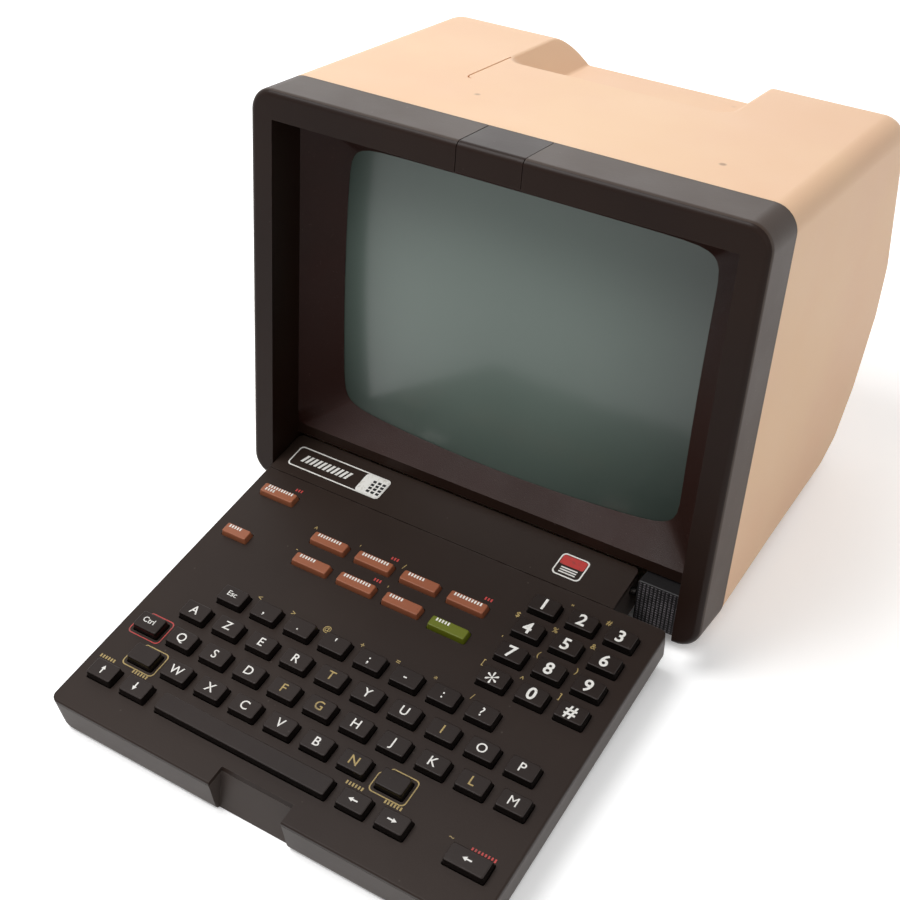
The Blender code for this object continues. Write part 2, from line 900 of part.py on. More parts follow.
def mains_transformer(parent, finish):
    width, depth, height = mains_transformer_width, mains_transformer_depth, mains_transformer_height
    core = box((-width / 2, -depth / 2, 0), (width / 2, depth / 2, height))
    coil = box((-width / 4, -depth / 2 - winding_bulge, winding_cheek),
               (width / 4, depth / 2 + winding_bulge, height - winding_cheek))
    place = on_board(mains_transformer_x, mains_transformer_from_rear)
    return piece("mains_transformer", joined(core, coil), parent, finish, place)


def flyback_transformer(parent, finish):
    width, depth, height = flyback_width, flyback_depth, flyback_height
    body = box((-width / 2, -depth / 2, 0), (width / 2, depth / 2, height))
    cap = stepped_along_z(((flyback_cap_radius, height - flyback_cap_height / 2),
                           (flyback_cap_radius, height + flyback_cap_height / 2),
                           (flyback_cap_radius / 2, height + flyback_cap_height)), (0, 0))
    place = on_board(flyback_x, flyback_from_rear)
    return piece("flyback_transformer", joined(body, cap), parent, finish, place)


def filter_capacitor(parent, finish):
    end_radius = capacitor_radius - capacitor_edge
    solid = stepped_along_z(((end_radius, 0), (capacitor_radius, capacitor_edge),
                             (capacitor_radius, capacitor_height - capacitor_edge),
                             (end_radius, capacitor_height)), (0, 0), large_sides)
    return piece("filter_capacitor", solid, parent, finish,
                 on_board(capacitor_x, capacitor_from_rear))


def heat_sink(parent, finish):
    width, depth, height = heat_sink_width, heat_sink_depth, heat_sink_height
    fin = width / (2 * heat_sink_fins - 1)
    outline = [(-width / 2, 0), (width / 2, 0)]
    for i in reversed(range(heat_sink_fins)):
        low = -width / 2 + 2 * fin * i
        if i < heat_sink_fins - 1:
            outline.append((low + fin, heat_sink_base))
        outline += [(low + fin, height), (low, height)]
        if i > 0:
            outline.append((low, heat_sink_base))
    solid = loft([[(x, y, z) for x, z in outline] for y in (-depth / 2, depth / 2)])
    return piece("heat_sink", solid, parent, finish,
                 on_board(heat_sink_x, heat_sink_from_rear))


def buzzer(parent, finish):
    solid = stepped_along_z(((buzzer_radius, 0), (buzzer_radius, buzzer_height),
                             (buzzer_hole, buzzer_height), (buzzer_hole, buzzer_height / 2)), (0, 0))
    place = (buzzer_right_of_middle, main_board_front + buzzer_from_front, board_top + gap)
    return piece("buzzer", solid, parent, finish, place)


def power_button(parent, finish):
    centre = ((button_left + button_right) / 2, button_face, (button_low + button_high) / 2)
    half_across = (button_right - button_left) / 2
    half_up = (button_high - button_low) / 2
    loops = []
    for margin, y in ((button_round, 0), (0, button_round), (0, button_depth)):
        low = (-half_across + margin, -half_up + margin)
        high = (half_across - margin, half_up - margin)
        loops.append([(x, y, z) for x, z in rounded_rectangle(low, high, 2 * button_round)])
    x = stem_x - centre[0]
    z = stem_height - centre[2]
    stem = box((x - stem_half, button_depth / 2, z - stem_half),
               (x + stem_half, stem_end, z + stem_half))
    return piece("power_button", joined(loft(loops), stem), parent, finish, centre)


def power_switch(parent, finish):
    front = back_wall_rear + gap
    solid = box((-switch_half_width, 0, -switch_half_height),
                (switch_half_width, switch_depth, switch_half_height))
    bore = box((-stem_half - gap, -overrun, -stem_half - gap),
               (stem_half + gap, switch_bore_depth, stem_half + gap))
    return piece("power_switch", cut(solid, bore), parent, finish, (stem_x, front, stem_height))


def latch_button(parent, finish):
    low = opening_top + gap
    step_low = low + latch_step
    profile = [(0, low), (latch_step_back, low), (latch_step_back, step_low), (band_depth, step_low),
               (band_depth, bezel_height)]
    for step in range(round_steps + 1):
        turn = pi / 2 * step / round_steps
        profile.append((bezel_front_round * (1 - sin(turn)),
                        bezel_height - bezel_front_round * (1 - cos(turn))))
    centre = ((latch_left + latch_right) / 2, 0, bezel_height)
    half = (latch_right - latch_left) / 2
    solid = prism_along_x([(y, z - centre[2]) for y, z in profile], -half, half)
    return piece("latch_button", solid, parent, finish, centre)


def peripheral_socket(parent, finish):
    solid = stepped_along_y(((socket_radius, -socket_depth), (socket_radius, gap),
                             (socket_radius + port_lip, gap), (socket_radius + port_lip, gap + port_lip),
                             (socket_radius - port_lip, gap + port_lip),
                             (socket_radius - port_lip, -socket_bore_depth)), (0, 0))
    return piece("peripheral_socket", solid, parent, finish, (socket_x, shell_rear, rear_port_height))


def cord_gland(name, x, parent, finish):
    solid = stepped_along_y(((gland_radius, port_lip - gland_length), (gland_radius, gap),
                             (gland_lip, gap), (gland_lip, gap + port_lip),
                             (gland_lip / 2, gap + 2 * port_lip)), (0, 0))
    return piece(name, solid, parent, finish, (x, shell_rear, rear_port_height))


def brightness_knob(parent, finish):
    solid = stepped_along_y(((knob_shaft_radius, -knob_shaft_length), (knob_shaft_radius, running_gap),
                             (knob_radius, running_gap), (knob_radius, knob_height - port_lip / 2),
                             (knob_radius - port_lip / 2, knob_height)), (0, 0))
    mark = box((-groove_width / 2, knob_height - groove_depth, knob_radius / 3),
               (groove_width / 2, knob_height + overrun, knob_radius + overrun))
    return piece("brightness_knob", cut(solid, mark), parent, finish, (knob_x, shell_rear, rear_port_height))


def hinge_pin(name, low, high, parent, finish):
    half = (high - low) / 2
    solid = rod_along_x(pin_radius, -half, half, (0, 0))
    return piece(name, solid, parent, finish, ((low + high) / 2, hinge_back, hinge_height))


def keyboard_outline(margin, z):
    """The keyboard's outline at a height, moved inwards by a margin. Below the panel its sides lean in."""
    share = max(-z - panel_thickness, 0) / (keyboard_thickness - panel_thickness)
    half = keyboard_half_width - margin - case_side_draft * share
    corner = max(keyboard_corner - margin, panel_edge_round)
    return rounded_rectangle((-half, -keyboard_front + margin), (half, -keyboard_rear - margin), corner)


def slab(stations):
    return loft([[(x, y, z) for x, y in keyboard_outline(margin, z)] for margin, z in stations])


def pocket_solid(margin):
    """The corner of the keyboard that is left out round the power button."""
    return box((pocket_left - margin, -pocket_front - margin, -keyboard_thickness - overrun),
               (keyboard_half_width + overrun, overrun, overrun))


def outside_corner(x, y, radius):
    """What a round corner takes off the keyboard's outline, at a corner that points right and back."""
    outline = []
    for step in range(corner_steps + 1):
        turn = pi / 2 * step / corner_steps
        outline.append((x - radius * (1 - cos(turn)), y - radius * (1 - sin(turn))))
    outline += [(x - radius, y + overrun), (x + overrun, y + overrun), (x + overrun, y - radius)]
    return loft([[(a, b, z) for a, b in outline] for z in (-keyboard_thickness - overrun, overrun)])


def rear_corners():
    """The round corners beside the pocket: one at the panel's rear edge, one at its right edge."""
    return several([outside_corner(pocket_left, -keyboard_rear, panel_rear_corner),
                    outside_corner(keyboard_half_width, -pocket_front, pocket_corner)])


def notch_solid(margin):
    """The notch in the front edge that the latch holds and a finger fits into."""
    top = -keyboard_front + notch_top_depth + margin
    foot_line = -keyboard_front + notch_foot_depth + margin
    lean = (notch_top_depth - notch_foot_depth) / keyboard_thickness
    front = -keyboard_front - overrun
    profile = [(top + overrun * lean, overrun), (front, overrun),
               (front, -keyboard_thickness - overrun),
               (foot_line - overrun * lean, -keyboard_thickness - overrun)]
    return prism_along_x(profile, notch_left - margin, notch_right + margin)


def keyboard_pin_bore(low, high):
    return rod_along_x(pin_radius + gap, low, high, (-hinge_from_rear, -hinge_below_panel))


def key_x(share):
    return control_x + letter_pitch * share


def key_u(share):
    return pocket_front + key_field * share


def key_row(first_share, count, rows_from_front, pitch_share=1):
    """A row of letter keys, as centre across, distance from the panel's rear, width, length, height."""
    u = front_row_u - rows_from_front * row_pitch
    return [(key_x(first_share + pitch_share * i), u, cap_width, cap_length, cap_height) for i in range(count)]


def key_places():
    """The keys of every node, each as centre across, distance from the rear, width, length, height."""
    front = (cap_length, cap_height)
    groups = {
        "punctuation_keys": key_row(punctuation_share, punctuation_count, punctuation_row),
        "top_letter_keys": key_row(top_letters_share, top_letter_count, top_letter_row),
        "middle_letter_keys": key_row(0, middle_letter_count, middle_letter_row),
        "bottom_letter_keys": key_row(bottom_letters_share, bottom_letter_count, bottom_letter_row),
        "upright_arrow_keys": key_row(left_arrows_share, arrow_count, 0, arrow_pitch_share),
        "level_arrow_keys": key_row(right_arrows_share, arrow_count, 0, arrow_pitch_share),
        "space_bar": [(key_x(space_share), front_row_u, letter_pitch * space_width_share, *front)],
        "return_key": [(key_x(return_share), front_row_u, letter_pitch * return_width_share, *front)],
    }
    names = "one two three four five six seven eight nine star zero hash".split()
    for i, name in enumerate(names):
        x = key_x(keypad_share + keypad_pitch_share * (i % keypad_columns))
        u = key_u(keypad_row_share + keypad_row_pitch_share * (i // keypad_columns))
        groups[f"keypad_{name}"] = [(x, u, cap_width, cap_length, cap_height)]
    size = (letter_pitch * function_width_share, function_length, function_height)
    for row, share, count in (("upper", function_upper_row_share, upper_function_count),
                              ("lower", function_lower_row_share, lower_function_count)):
        for i in range(count):
            x = key_x(function_share + function_pitch_share * i)
            groups[f"function_key_{row}_{i + 1}"] = [(x, key_u(share), *size)]
    groups["function_key_left"] = [(key_x(left_function_share), key_u(left_function_row_share), *size)]
    groups["function_key_narrow"] = [(key_x(narrow_function_share), key_u(narrow_function_row_share),
                                      letter_pitch * narrow_width_share, *size[1:])]
    groups["send_key"] = [(key_x(send_share), key_u(send_row_share),
                           letter_pitch * send_width_share, *size[1:])]
    return groups


def key_hole(x, u, width, length):
    half_x = width / 2 + key_gap
    half_y = length / 2 + key_gap
    return box((x - half_x, -u - half_y, -panel_thickness - skirt_depth), (x + half_x, -u + half_y, overrun))


def key_cap(x, y, width, length, height):
    """One cap and its skirt, about a point of the panel's top."""
    skirt_low = -panel_thickness - gap - flange_thickness / 2
    loops = []
    for margin, z in ((0, skirt_low), (0, 0), (cap_taper, height - cap_edge), (cap_taper + cap_edge, height)):
        low = (x - width / 2 + margin, y - length / 2 + margin)
        high = (x + width / 2 - margin, y + length / 2 - margin)
        loops.append([(a, b, z) for a, b in rounded_rectangle(low, high, cap_corner, 1)])
    return loft(loops)


def keys(name, places, parent, finish):
    """The keys of one body: their caps on one flange that lies under the keyboard's panel."""
    low_x = min(x - width / 2 for x, u, width, length, height in places)
    high_x = max(x + width / 2 for x, u, width, length, height in places)
    u = places[0][1]
    length = places[0][3]
    centre = (low_x + high_x) / 2
    half_x = (high_x - low_x) / 2 + flange_margin
    half_y = length / 2 + flange_margin
    top = -panel_thickness - gap
    flange = box((-half_x, -half_y, top - flange_thickness), (half_x, half_y, top))
    caps = several([key_cap(x - centre, 0, width, length, height) for x, u, width, length, height in places])
    return piece(name, joined(flange, caps), parent, finish, (centre, -u, 0))


def keyboard_top_shell(parent, finish):
    edge = panel_edge_round
    plate = slab(((0, -panel_thickness), (0, -edge), (edge / 3, -edge / 3), (edge, 0)))
    outer = case_wall + gap
    skirt_front = -keyboard_front + outer
    low = -skirt_depth - panel_thickness
    # The case's sides lean in, so the skirt stays clear of them a wall's thickness below its own foot.
    half = keyboard_half_width - outer - case_side_draft * (case_wall - low) / keyboard_thickness
    outline = rounded_rectangle((-half, skirt_front), (half, -skirt_rear), keyboard_corner - outer / 2)
    skirt = loft([[(x, y, z) for x, y in outline] for z in (low, -panel_thickness + edge / 2)])
    inner_half = half - skirt_thickness
    skirt_hollow = box((-inner_half, skirt_front + skirt_thickness, low - overrun),
                       (inner_half, -skirt_rear - skirt_thickness, overrun))
    skirt = cut(skirt, skirt_hollow, notch_solid(case_wall + gap))
    solid = joined(plate, skirt)
    holes = several([key_hole(x, u, width, length)
                     for places in key_places().values() for x, u, width, length, height in places])
    crease = box((-keyboard_width, -pocket_front - crease_width / 2, -crease_depth),
                 (pocket_left + overrun, -pocket_front + crease_width / 2, overrun))
    solid = cut(solid, pocket_solid(0), rear_corners(), notch_solid(0), holes, crease)
    return piece("keyboard_top_shell", solid, parent, finish)


def keyboard_bottom_shell(parent, finish):
    top = -panel_thickness - gap
    bottom = -keyboard_thickness
    body = slab(((case_bottom_inset, bottom), (case_bottom_inset / 3, bottom + case_bottom_rise / 3),
                 (0, bottom + case_bottom_rise), (0, top)))
    floor = bottom + case_wall
    cavity = slab(((case_bottom_inset + case_wall, floor), (case_wall, floor + case_bottom_rise / 2),
                   (case_wall, overrun)))
    half = keyboard_half_width
    block_front = -hinge_from_rear - block_reach
    block_rear = -hinge_from_rear + block_reach
    blocks = [box((-half, block_front, bottom - overrun), (left_block_end, block_rear, overrun)),
              box((right_block_start, block_front, bottom - overrun), (pocket_left, block_rear, overrun))]
    cavity = cut(cavity, pocket_solid(case_wall), notch_solid(case_wall), several(blocks))
    posts = []
    for side in (-1, 1):
        for u in (key_board_rear + key_post_end_margin, key_board_front - key_post_end_margin):
            posts.append(stepped_along_z(((key_post_radius, floor - case_wall / 2),
                                          (key_post_radius, -key_board_top - board_thickness - gap)),
                                         (side * key_post_x, -u)))
    ridges = []
    ridge_y = -keyboard_front + rest_ridge_from_front
    for side in (-1, 1):
        low = side * rest_ridge_x - rest_ridge_length / 2
        ridges.append(box((low, ridge_y, bottom - rest_ridge_height),
                          (low + rest_ridge_length, ridge_y + rest_ridge_depth, bottom + case_wall / 2)))
    solid = cut(body, cavity, pocket_solid(0), rear_corners(), notch_solid(0),
                keyboard_pin_bore(-half - overrun, left_pin_start + gap),
                keyboard_pin_bore(right_pin_start - gap, pocket_left + overrun))
    solid = joined(solid, several(posts), several(ridges))
    return piece("keyboard_bottom_shell", solid, parent, finish)


def key_boards(parent, board_finish, mat_finish):
    low = (-key_board_half_width, -key_board_front, -key_board_top - board_thickness)
    high = (key_board_half_width, -key_board_rear, -key_board_top)
    piece("key_circuit_board", box(low, high), parent, board_finish)
    mat_low = -key_board_top + gap
    piece("key_mat", box((low[0], low[1], mat_low), (high[0], high[1], mat_low + key_mat_thickness)),
          parent, mat_finish)


def stand_on_origin(root):
    """Moves the whole terminal so that it stands on z = 0 with its middle over the origin."""
    bpy.context.view_layer.update()
    corners = [item.matrix_world @ Vector(corner) for item in bpy.data.objects if item.type == "MESH"
               for corner in (vertex.co for vertex in item.data.vertices)]
    low_y = min(corner.y for corner in corners)
    high_y = max(corner.y for corner in corners)
    root.location.y = -(low_y + high_y) / 2


def build():
    remove_everything()
    peach = plastic("peach plastic", (0.70, 0.42, 0.27), 0.5)
    brown = plastic("dark brown plastic", (0.035, 0.022, 0.021), 0.45)
    key_brown = plastic("key brown plastic", (0.014, 0.010, 0.010), 0.4)
    terracotta = plastic("terracotta plastic", (0.27, 0.085, 0.05), 0.45)
    olive = plastic("olive plastic", (0.12, 0.15, 0.012), 0.45)
    glass = plastic("tube glass", (0.09, 0.115, 0.10), 0.12)
    board = plastic("circuit board", (0.03, 0.16, 0.06), 0.5)
    black = plastic("black plastic", (0.012, 0.012, 0.012), 0.5)
    rubber = plastic("rubber", (0.02, 0.02, 0.02), 0.8)
    steel = plastic("plated steel", (0.5, 0.5, 0.5), 0.35, 1)
    copper = plastic("copper winding", (0.45, 0.17, 0.06), 0.4, 1)
    aluminium = plastic("aluminium", (0.6, 0.6, 0.6), 0.4, 1)

    desk = empty("desk_frame")
    body = empty("body_frame", (0, 0, body_above_desk), -body_lean, desk)
    hinge = empty("keyboard_hinge", (0, axis_back_of_body, axis_above_desk), keyboard_slope, desk)
    panel = empty("key_panel", (0, hinge_from_rear, hinge_below_panel), 0, hinge)

    front_bezel(body, brown)
    rear_shell(body, peach)
    base_cover(desk, peach)
    picture_tube(body, glass)
    tube_band(body, steel)
    deflection_yoke(body, copper)
    neck_board(body, board)
    main_board(desk, board)
    mains_transformer(desk, steel)
    flyback_transformer(desk, black)
    filter_capacitor(desk, black)
    heat_sink(desk, aluminium)
    buzzer(desk, black)
    power_button(body, brown)
    power_switch(body, black)
    latch_button(body, brown)
    peripheral_socket(body, black)
    cord_gland("line_cord_gland", line_gland_x, body, rubber)
    cord_gland("mains_cord_gland", mains_gland_x, body, rubber)
    brightness_knob(body, brown)
    for name, x, y in (("foot_front_left", -foot_x, front_foot_y), ("foot_front_right", foot_x, front_foot_y),
                       ("foot_rear_left", -foot_x, rear_foot_y), ("foot_rear_right", foot_x, rear_foot_y)):
        foot(name, x, y, desk, rubber)
    hinge_pin("hinge_pin_left", left_pin_end, left_pin_start, body, steel)
    hinge_pin("hinge_pin_right", right_pin_start, lug_left + lug_thickness, body, steel)

    keyboard_top_shell(panel, brown)
    keyboard_bottom_shell(panel, brown)
    key_boards(panel, board, rubber)
    for name, places in key_places().items():
        finish = key_brown
        if name.startswith("function"):
            finish = terracotta
        if name.startswith("send"):
            finish = olive
        keys(name, places, panel, finish)
    stand_on_origin(desk)


build()
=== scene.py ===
# %% [markdown]
# A desk terminal of the early eighties: a leaning peach cabinet, a dark bezel round a small picture tube,
# and a flat keyboard that folds up over the screen. The frame below holds its solids at their real size.
# Every piece made here is placed in that frame, so nothing has to be fitted afterwards.

# %% Load the frame
import json
from math import cos, pi, radians, sin, sqrt, tan

import bmesh
import bpy
from mathutils import Matrix, Vector


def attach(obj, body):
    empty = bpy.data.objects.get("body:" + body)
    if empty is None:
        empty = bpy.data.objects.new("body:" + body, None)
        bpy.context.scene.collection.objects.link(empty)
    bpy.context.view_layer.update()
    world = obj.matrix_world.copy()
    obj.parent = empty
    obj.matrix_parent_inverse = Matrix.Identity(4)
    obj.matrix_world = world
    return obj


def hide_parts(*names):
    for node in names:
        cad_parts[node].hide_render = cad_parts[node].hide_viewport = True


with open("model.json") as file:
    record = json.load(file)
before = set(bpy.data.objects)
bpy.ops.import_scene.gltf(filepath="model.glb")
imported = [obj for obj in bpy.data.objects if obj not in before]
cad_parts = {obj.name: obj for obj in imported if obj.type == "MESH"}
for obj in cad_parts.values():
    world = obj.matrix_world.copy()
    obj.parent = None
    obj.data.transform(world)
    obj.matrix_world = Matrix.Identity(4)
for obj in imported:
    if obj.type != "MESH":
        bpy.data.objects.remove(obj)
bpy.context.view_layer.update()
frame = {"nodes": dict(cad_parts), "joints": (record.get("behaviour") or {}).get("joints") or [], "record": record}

# %% [markdown]
# Three frames of reference keep the numbers simple. The cabinet leans back, so its outlines are drawn
# upright in the body frame and turned afterwards. The keyboard lies on a slight slope, so its keys are
# drawn on the level panel frame. Both frames hang on the hinge axis, which the joint in the record gives.

# %% Frames on the hinge axis
body_lean = radians(12.66)
keyboard_slope = radians(2.5)
hinge_back = 0.0145
hinge_height = 0.00429
hinge_from_rear = 0.0108
hinge_below_panel = 0.0055

fold = next(joint for joint in frame["joints"] if joint["name"] == "keyboard_fold")
hinge_axis = Matrix.Translation(fold["pos_m"])
to_body = (hinge_axis @ Matrix.Rotation(-body_lean, 4, "X")
           @ Matrix.Translation((0, -hinge_back, -hinge_height)))
to_panel = (hinge_axis @ Matrix.Rotation(keyboard_slope, 4, "X")
            @ Matrix.Translation((0, hinge_from_rear, hinge_below_panel)))


def span(node, place):
    """Lowest and highest corner of a node, read in one of the frames."""
    back = place.inverted()
    points = [back @ vertex.co for vertex in frame["nodes"][node].data.vertices]
    return (Vector(map(min, *points)), Vector(map(max, *points)))


print("panel's rear edge in the room", [round(value, 4) for value in to_panel.translation])

# %% [markdown]
# The camera stands where the photographer stood: close, high and to the right. Its place was solved from
# the corners of the bezel and the grid of keys, so the perspective of the render matches the photograph.
# Lamps are large and soft, and the floor is nearly white, which gives the pale studio look.

# %% Camera
camera_place = Vector((0.27581, -0.42149, 0.52038))
camera_look = Vector((-0.42657, 0.60360, -0.67358))
camera_lens = 58.48
camera_roll = radians(-4.457)

camera_data = bpy.data.cameras.new("photo camera")
camera_data.lens = camera_lens
camera = bpy.data.objects.new("photo camera", camera_data)
bpy.context.scene.collection.objects.link(camera)
camera.matrix_world = (Matrix.Translation(camera_place)
                       @ camera_look.to_track_quat("-Z", "Y").to_matrix().to_4x4()
                       @ Matrix.Rotation(camera_roll, 4, "Z"))
bpy.context.scene.camera = camera
bpy.context.scene.view_settings.view_transform = "Standard"
print("camera", [round(value, 3) for value in camera_place])


# %% [markdown]
# Materials are built from nodes. A short helper adds a node and fills its sockets, with a number, a
# colour or the output of another node, so that each material below reads like a recipe.

# %% Node helpers
def add(tree, kind, inputs=None, **settings):
    """A new node: its settings, then its input sockets by name or number."""
    node = tree.nodes.new(kind)
    for setting, value in settings.items():
        setattr(node, setting, value)
    for socket, value in (inputs or {}).items():
        if isinstance(value, bpy.types.NodeSocket):
            tree.links.new(value, node.inputs[socket])
        else:
            node.inputs[socket].default_value = value
    return node


def group_tree(name, kind, inputs, outputs):
    """An empty node group with named sockets, and its input and output nodes."""
    tree = bpy.data.node_groups.new(name, kind)
    for direction, sockets in (("INPUT", inputs), ("OUTPUT", outputs)):
        for label, socket_type, *value in sockets:
            socket = tree.interface.new_socket(label, in_out=direction,
                                               socket_type="NodeSocket" + socket_type)
            if value:
                socket.default_value = value[0]
    return tree, tree.nodes.new("NodeGroupInput").outputs, tree.nodes.new("NodeGroupOutput").inputs


def ramp(tree, value, low, high):
    """Turns a value into a mask that rises from 0 at low to 1 at high."""
    mask = add(tree, "ShaderNodeMapRange", {0: value, 1: low, 2: high}, interpolation_type="SMOOTHSTEP")
    return mask.outputs[0]


def product(tree, a, b):
    return add(tree, "ShaderNodeMath", {0: a, 1: b}, operation="MULTIPLY").outputs[0]


print("node helpers", [helper.__name__ for helper in (add, group_tree, ramp, product)])


# %% [markdown]
# Three effects return on nearly every moulded part, so each is a group that is built once. The grain of
# spark eroded tooling roughens the plastic. Edges wear lighter where hands and cases rub them: the Bevel
# node's rounded normal differs from the true one only near an edge. Dust and handling leave small specks,
# and the same specks, made bright on the chin, stand for painted glints.

# %% Shared effects
def grain_group():
    tree, given, out = group_tree("moulded grain", "ShaderNodeTree",
                                  [("Scale", "Float", 900.0), ("Roughness", "Float", 0.5),
                                   ("Spread", "Float", 0.1)],
                                  [("Height", "Float"), ("Roughness", "Float")])
    place = add(tree, "ShaderNodeTexCoord").outputs["Object"]
    fine = add(tree, "ShaderNodeTexNoise", {"Vector": place, "Scale": given["Scale"], "Detail": 2.0})
    broad = add(tree, "ShaderNodeTexNoise", {"Vector": place, "Scale": 30.0, "Detail": 4.0, "Roughness": 0.6})
    swing = add(tree, "ShaderNodeMath", {0: broad.outputs[0], 1: 0.5}, operation="SUBTRACT").outputs[0]
    rough = add(tree, "ShaderNodeMath", {0: swing, 1: given["Spread"], 2: given["Roughness"]},
                operation="MULTIPLY_ADD")
    tree.links.new(fine.outputs[0], out["Height"])
    tree.links.new(rough.outputs[0], out["Roughness"])
    return tree


def wear_group():
    tree, given, out = group_tree("worn edges", "ShaderNodeTree",
                                  [("Reach", "Float", 0.0006), ("Breakup", "Float", 120.0),
                                   ("Amount", "Float", 1.0)],
                                  [("Mask", "Float")])
    soft = add(tree, "ShaderNodeBevel", {"Radius": given["Reach"]}, samples=4)
    true = add(tree, "ShaderNodeNewGeometry").outputs["Normal"]
    turn = add(tree, "ShaderNodeVectorMath", {0: soft.outputs[0], 1: true}, operation="DOT_PRODUCT")
    edge = ramp(tree, turn.outputs["Value"], 0.985, 0.86)
    place = add(tree, "ShaderNodeTexCoord").outputs["Object"]
    patches = add(tree, "ShaderNodeTexNoise", {"Vector": place, "Scale": given["Breakup"], "Detail": 3.0})
    broken = product(tree, edge, ramp(tree, patches.outputs[0], 0.38, 0.62))
    tree.links.new(product(tree, broken, given["Amount"]), out["Mask"])
    return tree


# Small specks: dirt on most parts, and bright painted glints on the chin.
def dust_and_glint_group():
    tree, given, out = group_tree("dust and specks", "ShaderNodeTree",
                                  [("Scale", "Float", 260.0), ("Amount", "Float", 0.5)], [("Mask", "Float")])
    place = add(tree, "ShaderNodeTexCoord").outputs["Object"]
    cells = add(tree, "ShaderNodeTexVoronoi", {"Vector": place, "Scale": given["Scale"]})
    near = ramp(tree, cells.outputs["Distance"], 0.16, 0.06)
    number = add(tree, "ShaderNodeSeparateColor", {0: cells.outputs["Color"]}).outputs[0]
    pick = ramp(tree, number, 0.93, 0.97)
    tree.links.new(product(tree, product(tree, near, pick), given["Amount"]), out["Mask"])
    return tree


grain = grain_group()
worn_edges = wear_group()
dust_and_glints = dust_and_glint_group()
print("shared effects", [tree.name for tree in (grain, worn_edges, dust_and_glints)])


# %% [markdown]
# One recipe serves all moulded plastics: a base colour that drifts a little across the part, worn edges,
# specks, and a fine bump. Only the values differ between the bright cabinet and the dark keyboard.

# %% Moulded plastics
def use(tree, group, **values):
    """The outputs of a shared effect, placed with its own values."""
    inputs = {name.capitalize(): value for name, value in values.items()}
    return add(tree, "ShaderNodeGroup", inputs, node_tree=group).outputs


def blend(tree, mask, under, over):
    """Two colours mixed by a mask. Each colour is a triple or another node's output."""
    node = add(tree, "ShaderNodeMix", data_type="RGBA")
    for socket, value in ((node.inputs[0], mask), (node.inputs[6], under), (node.inputs[7], over)):
        if isinstance(value, bpy.types.NodeSocket):
            tree.links.new(value, socket)
        else:
            socket.default_value = (*value, 1)
    return node.outputs[2]


def empty_material(name):
    finish = bpy.data.materials.new(name)
    finish.use_nodes = True
    return finish, finish.node_tree, finish.node_tree.nodes["Principled BSDF"].inputs


def moulded(name, colour, drift, worn, speck, roughness=0.5, spread=0.15, grain_scale=900.0,
            bump=0.08, wear=0.6, reach=0.0006, specks=0.5, speck_scale=260.0, drift_scale=9.0, specular=0.5):
    finish, tree, shader = empty_material(name)
    place = add(tree, "ShaderNodeTexCoord").outputs["Object"]
    cloud = add(tree, "ShaderNodeTexNoise", {"Vector": place, "Scale": drift_scale, "Detail": 5.0}).outputs[0]
    base = blend(tree, ramp(tree, cloud, 0.35, 0.65), colour, drift)
    base = blend(tree, use(tree, worn_edges, reach=reach, amount=wear)["Mask"], base, worn)
    base = blend(tree, use(tree, dust_and_glints, scale=speck_scale, amount=specks)["Mask"], base, speck)
    surface = use(tree, grain, scale=grain_scale, roughness=roughness, spread=spread)
    relief = add(tree, "ShaderNodeBump", {"Height": surface["Height"], "Strength": bump, "Distance": 0.0003})
    tree.links.new(base, shader["Base Color"])
    tree.links.new(surface["Roughness"], shader["Roughness"])
    tree.links.new(relief.outputs[0], shader["Normal"])
    shader["Specular IOR Level"].default_value = specular
    return finish


peach = moulded("peach cabinet plastic", (0.82, 0.55, 0.345), (0.80, 0.515, 0.33), (0.88, 0.66, 0.48),
                (0.20, 0.11, 0.07), roughness=0.50, specks=0.6, speck_scale=75.0, wear=0.2, specular=0.3)
# The outer band is the same moulding as the bezel front, coloured lighter: painted sheen.
sheen_painted_band_brown = moulded("bezel band plastic with painted sheen", (0.043, 0.026, 0.018), (0.036, 0.021, 0.014),
                     (0.12, 0.095, 0.085), (0.14, 0.11, 0.10), roughness=0.46, specks=0.4, wear=0.5,
                     specular=0.25)
bezel_brown = moulded("dark brown bezel plastic", (0.017, 0.0075, 0.0045), (0.013, 0.0055, 0.0035),
                      (0.055, 0.038, 0.032), (0.09, 0.07, 0.06), roughness=0.36, specks=0.3, wear=0.45,
                      specular=0.14)
# The slopes round the glass get their own redder copy of the bezel plastic, and its bright flecks are painted
# glints.
chin_brown = moulded("chin plastic with painted glints", (0.026, 0.0085, 0.006), (0.019, 0.008, 0.0055),
                     (0.06, 0.045, 0.04), (0.26, 0.19, 0.16), roughness=0.40, spread=0.3, bump=0.4,
                     grain_scale=2400.0, specks=0.9, speck_scale=1500.0, specular=0.13)
panel_brown = moulded("keyboard plastic", (0.027, 0.017, 0.013), (0.022, 0.0135, 0.0105),
                      (0.075, 0.06, 0.052), (0.12, 0.10, 0.085), roughness=0.40, specks=0.35, wear=0.45,
                      specular=0.14)
case_brown = moulded("keyboard case plastic", (0.062, 0.048, 0.042), (0.052, 0.040, 0.035),
                     (0.13, 0.11, 0.10), (0.15, 0.13, 0.12), roughness=0.45, specks=0.35, wear=0.4,
                     specular=0.2)
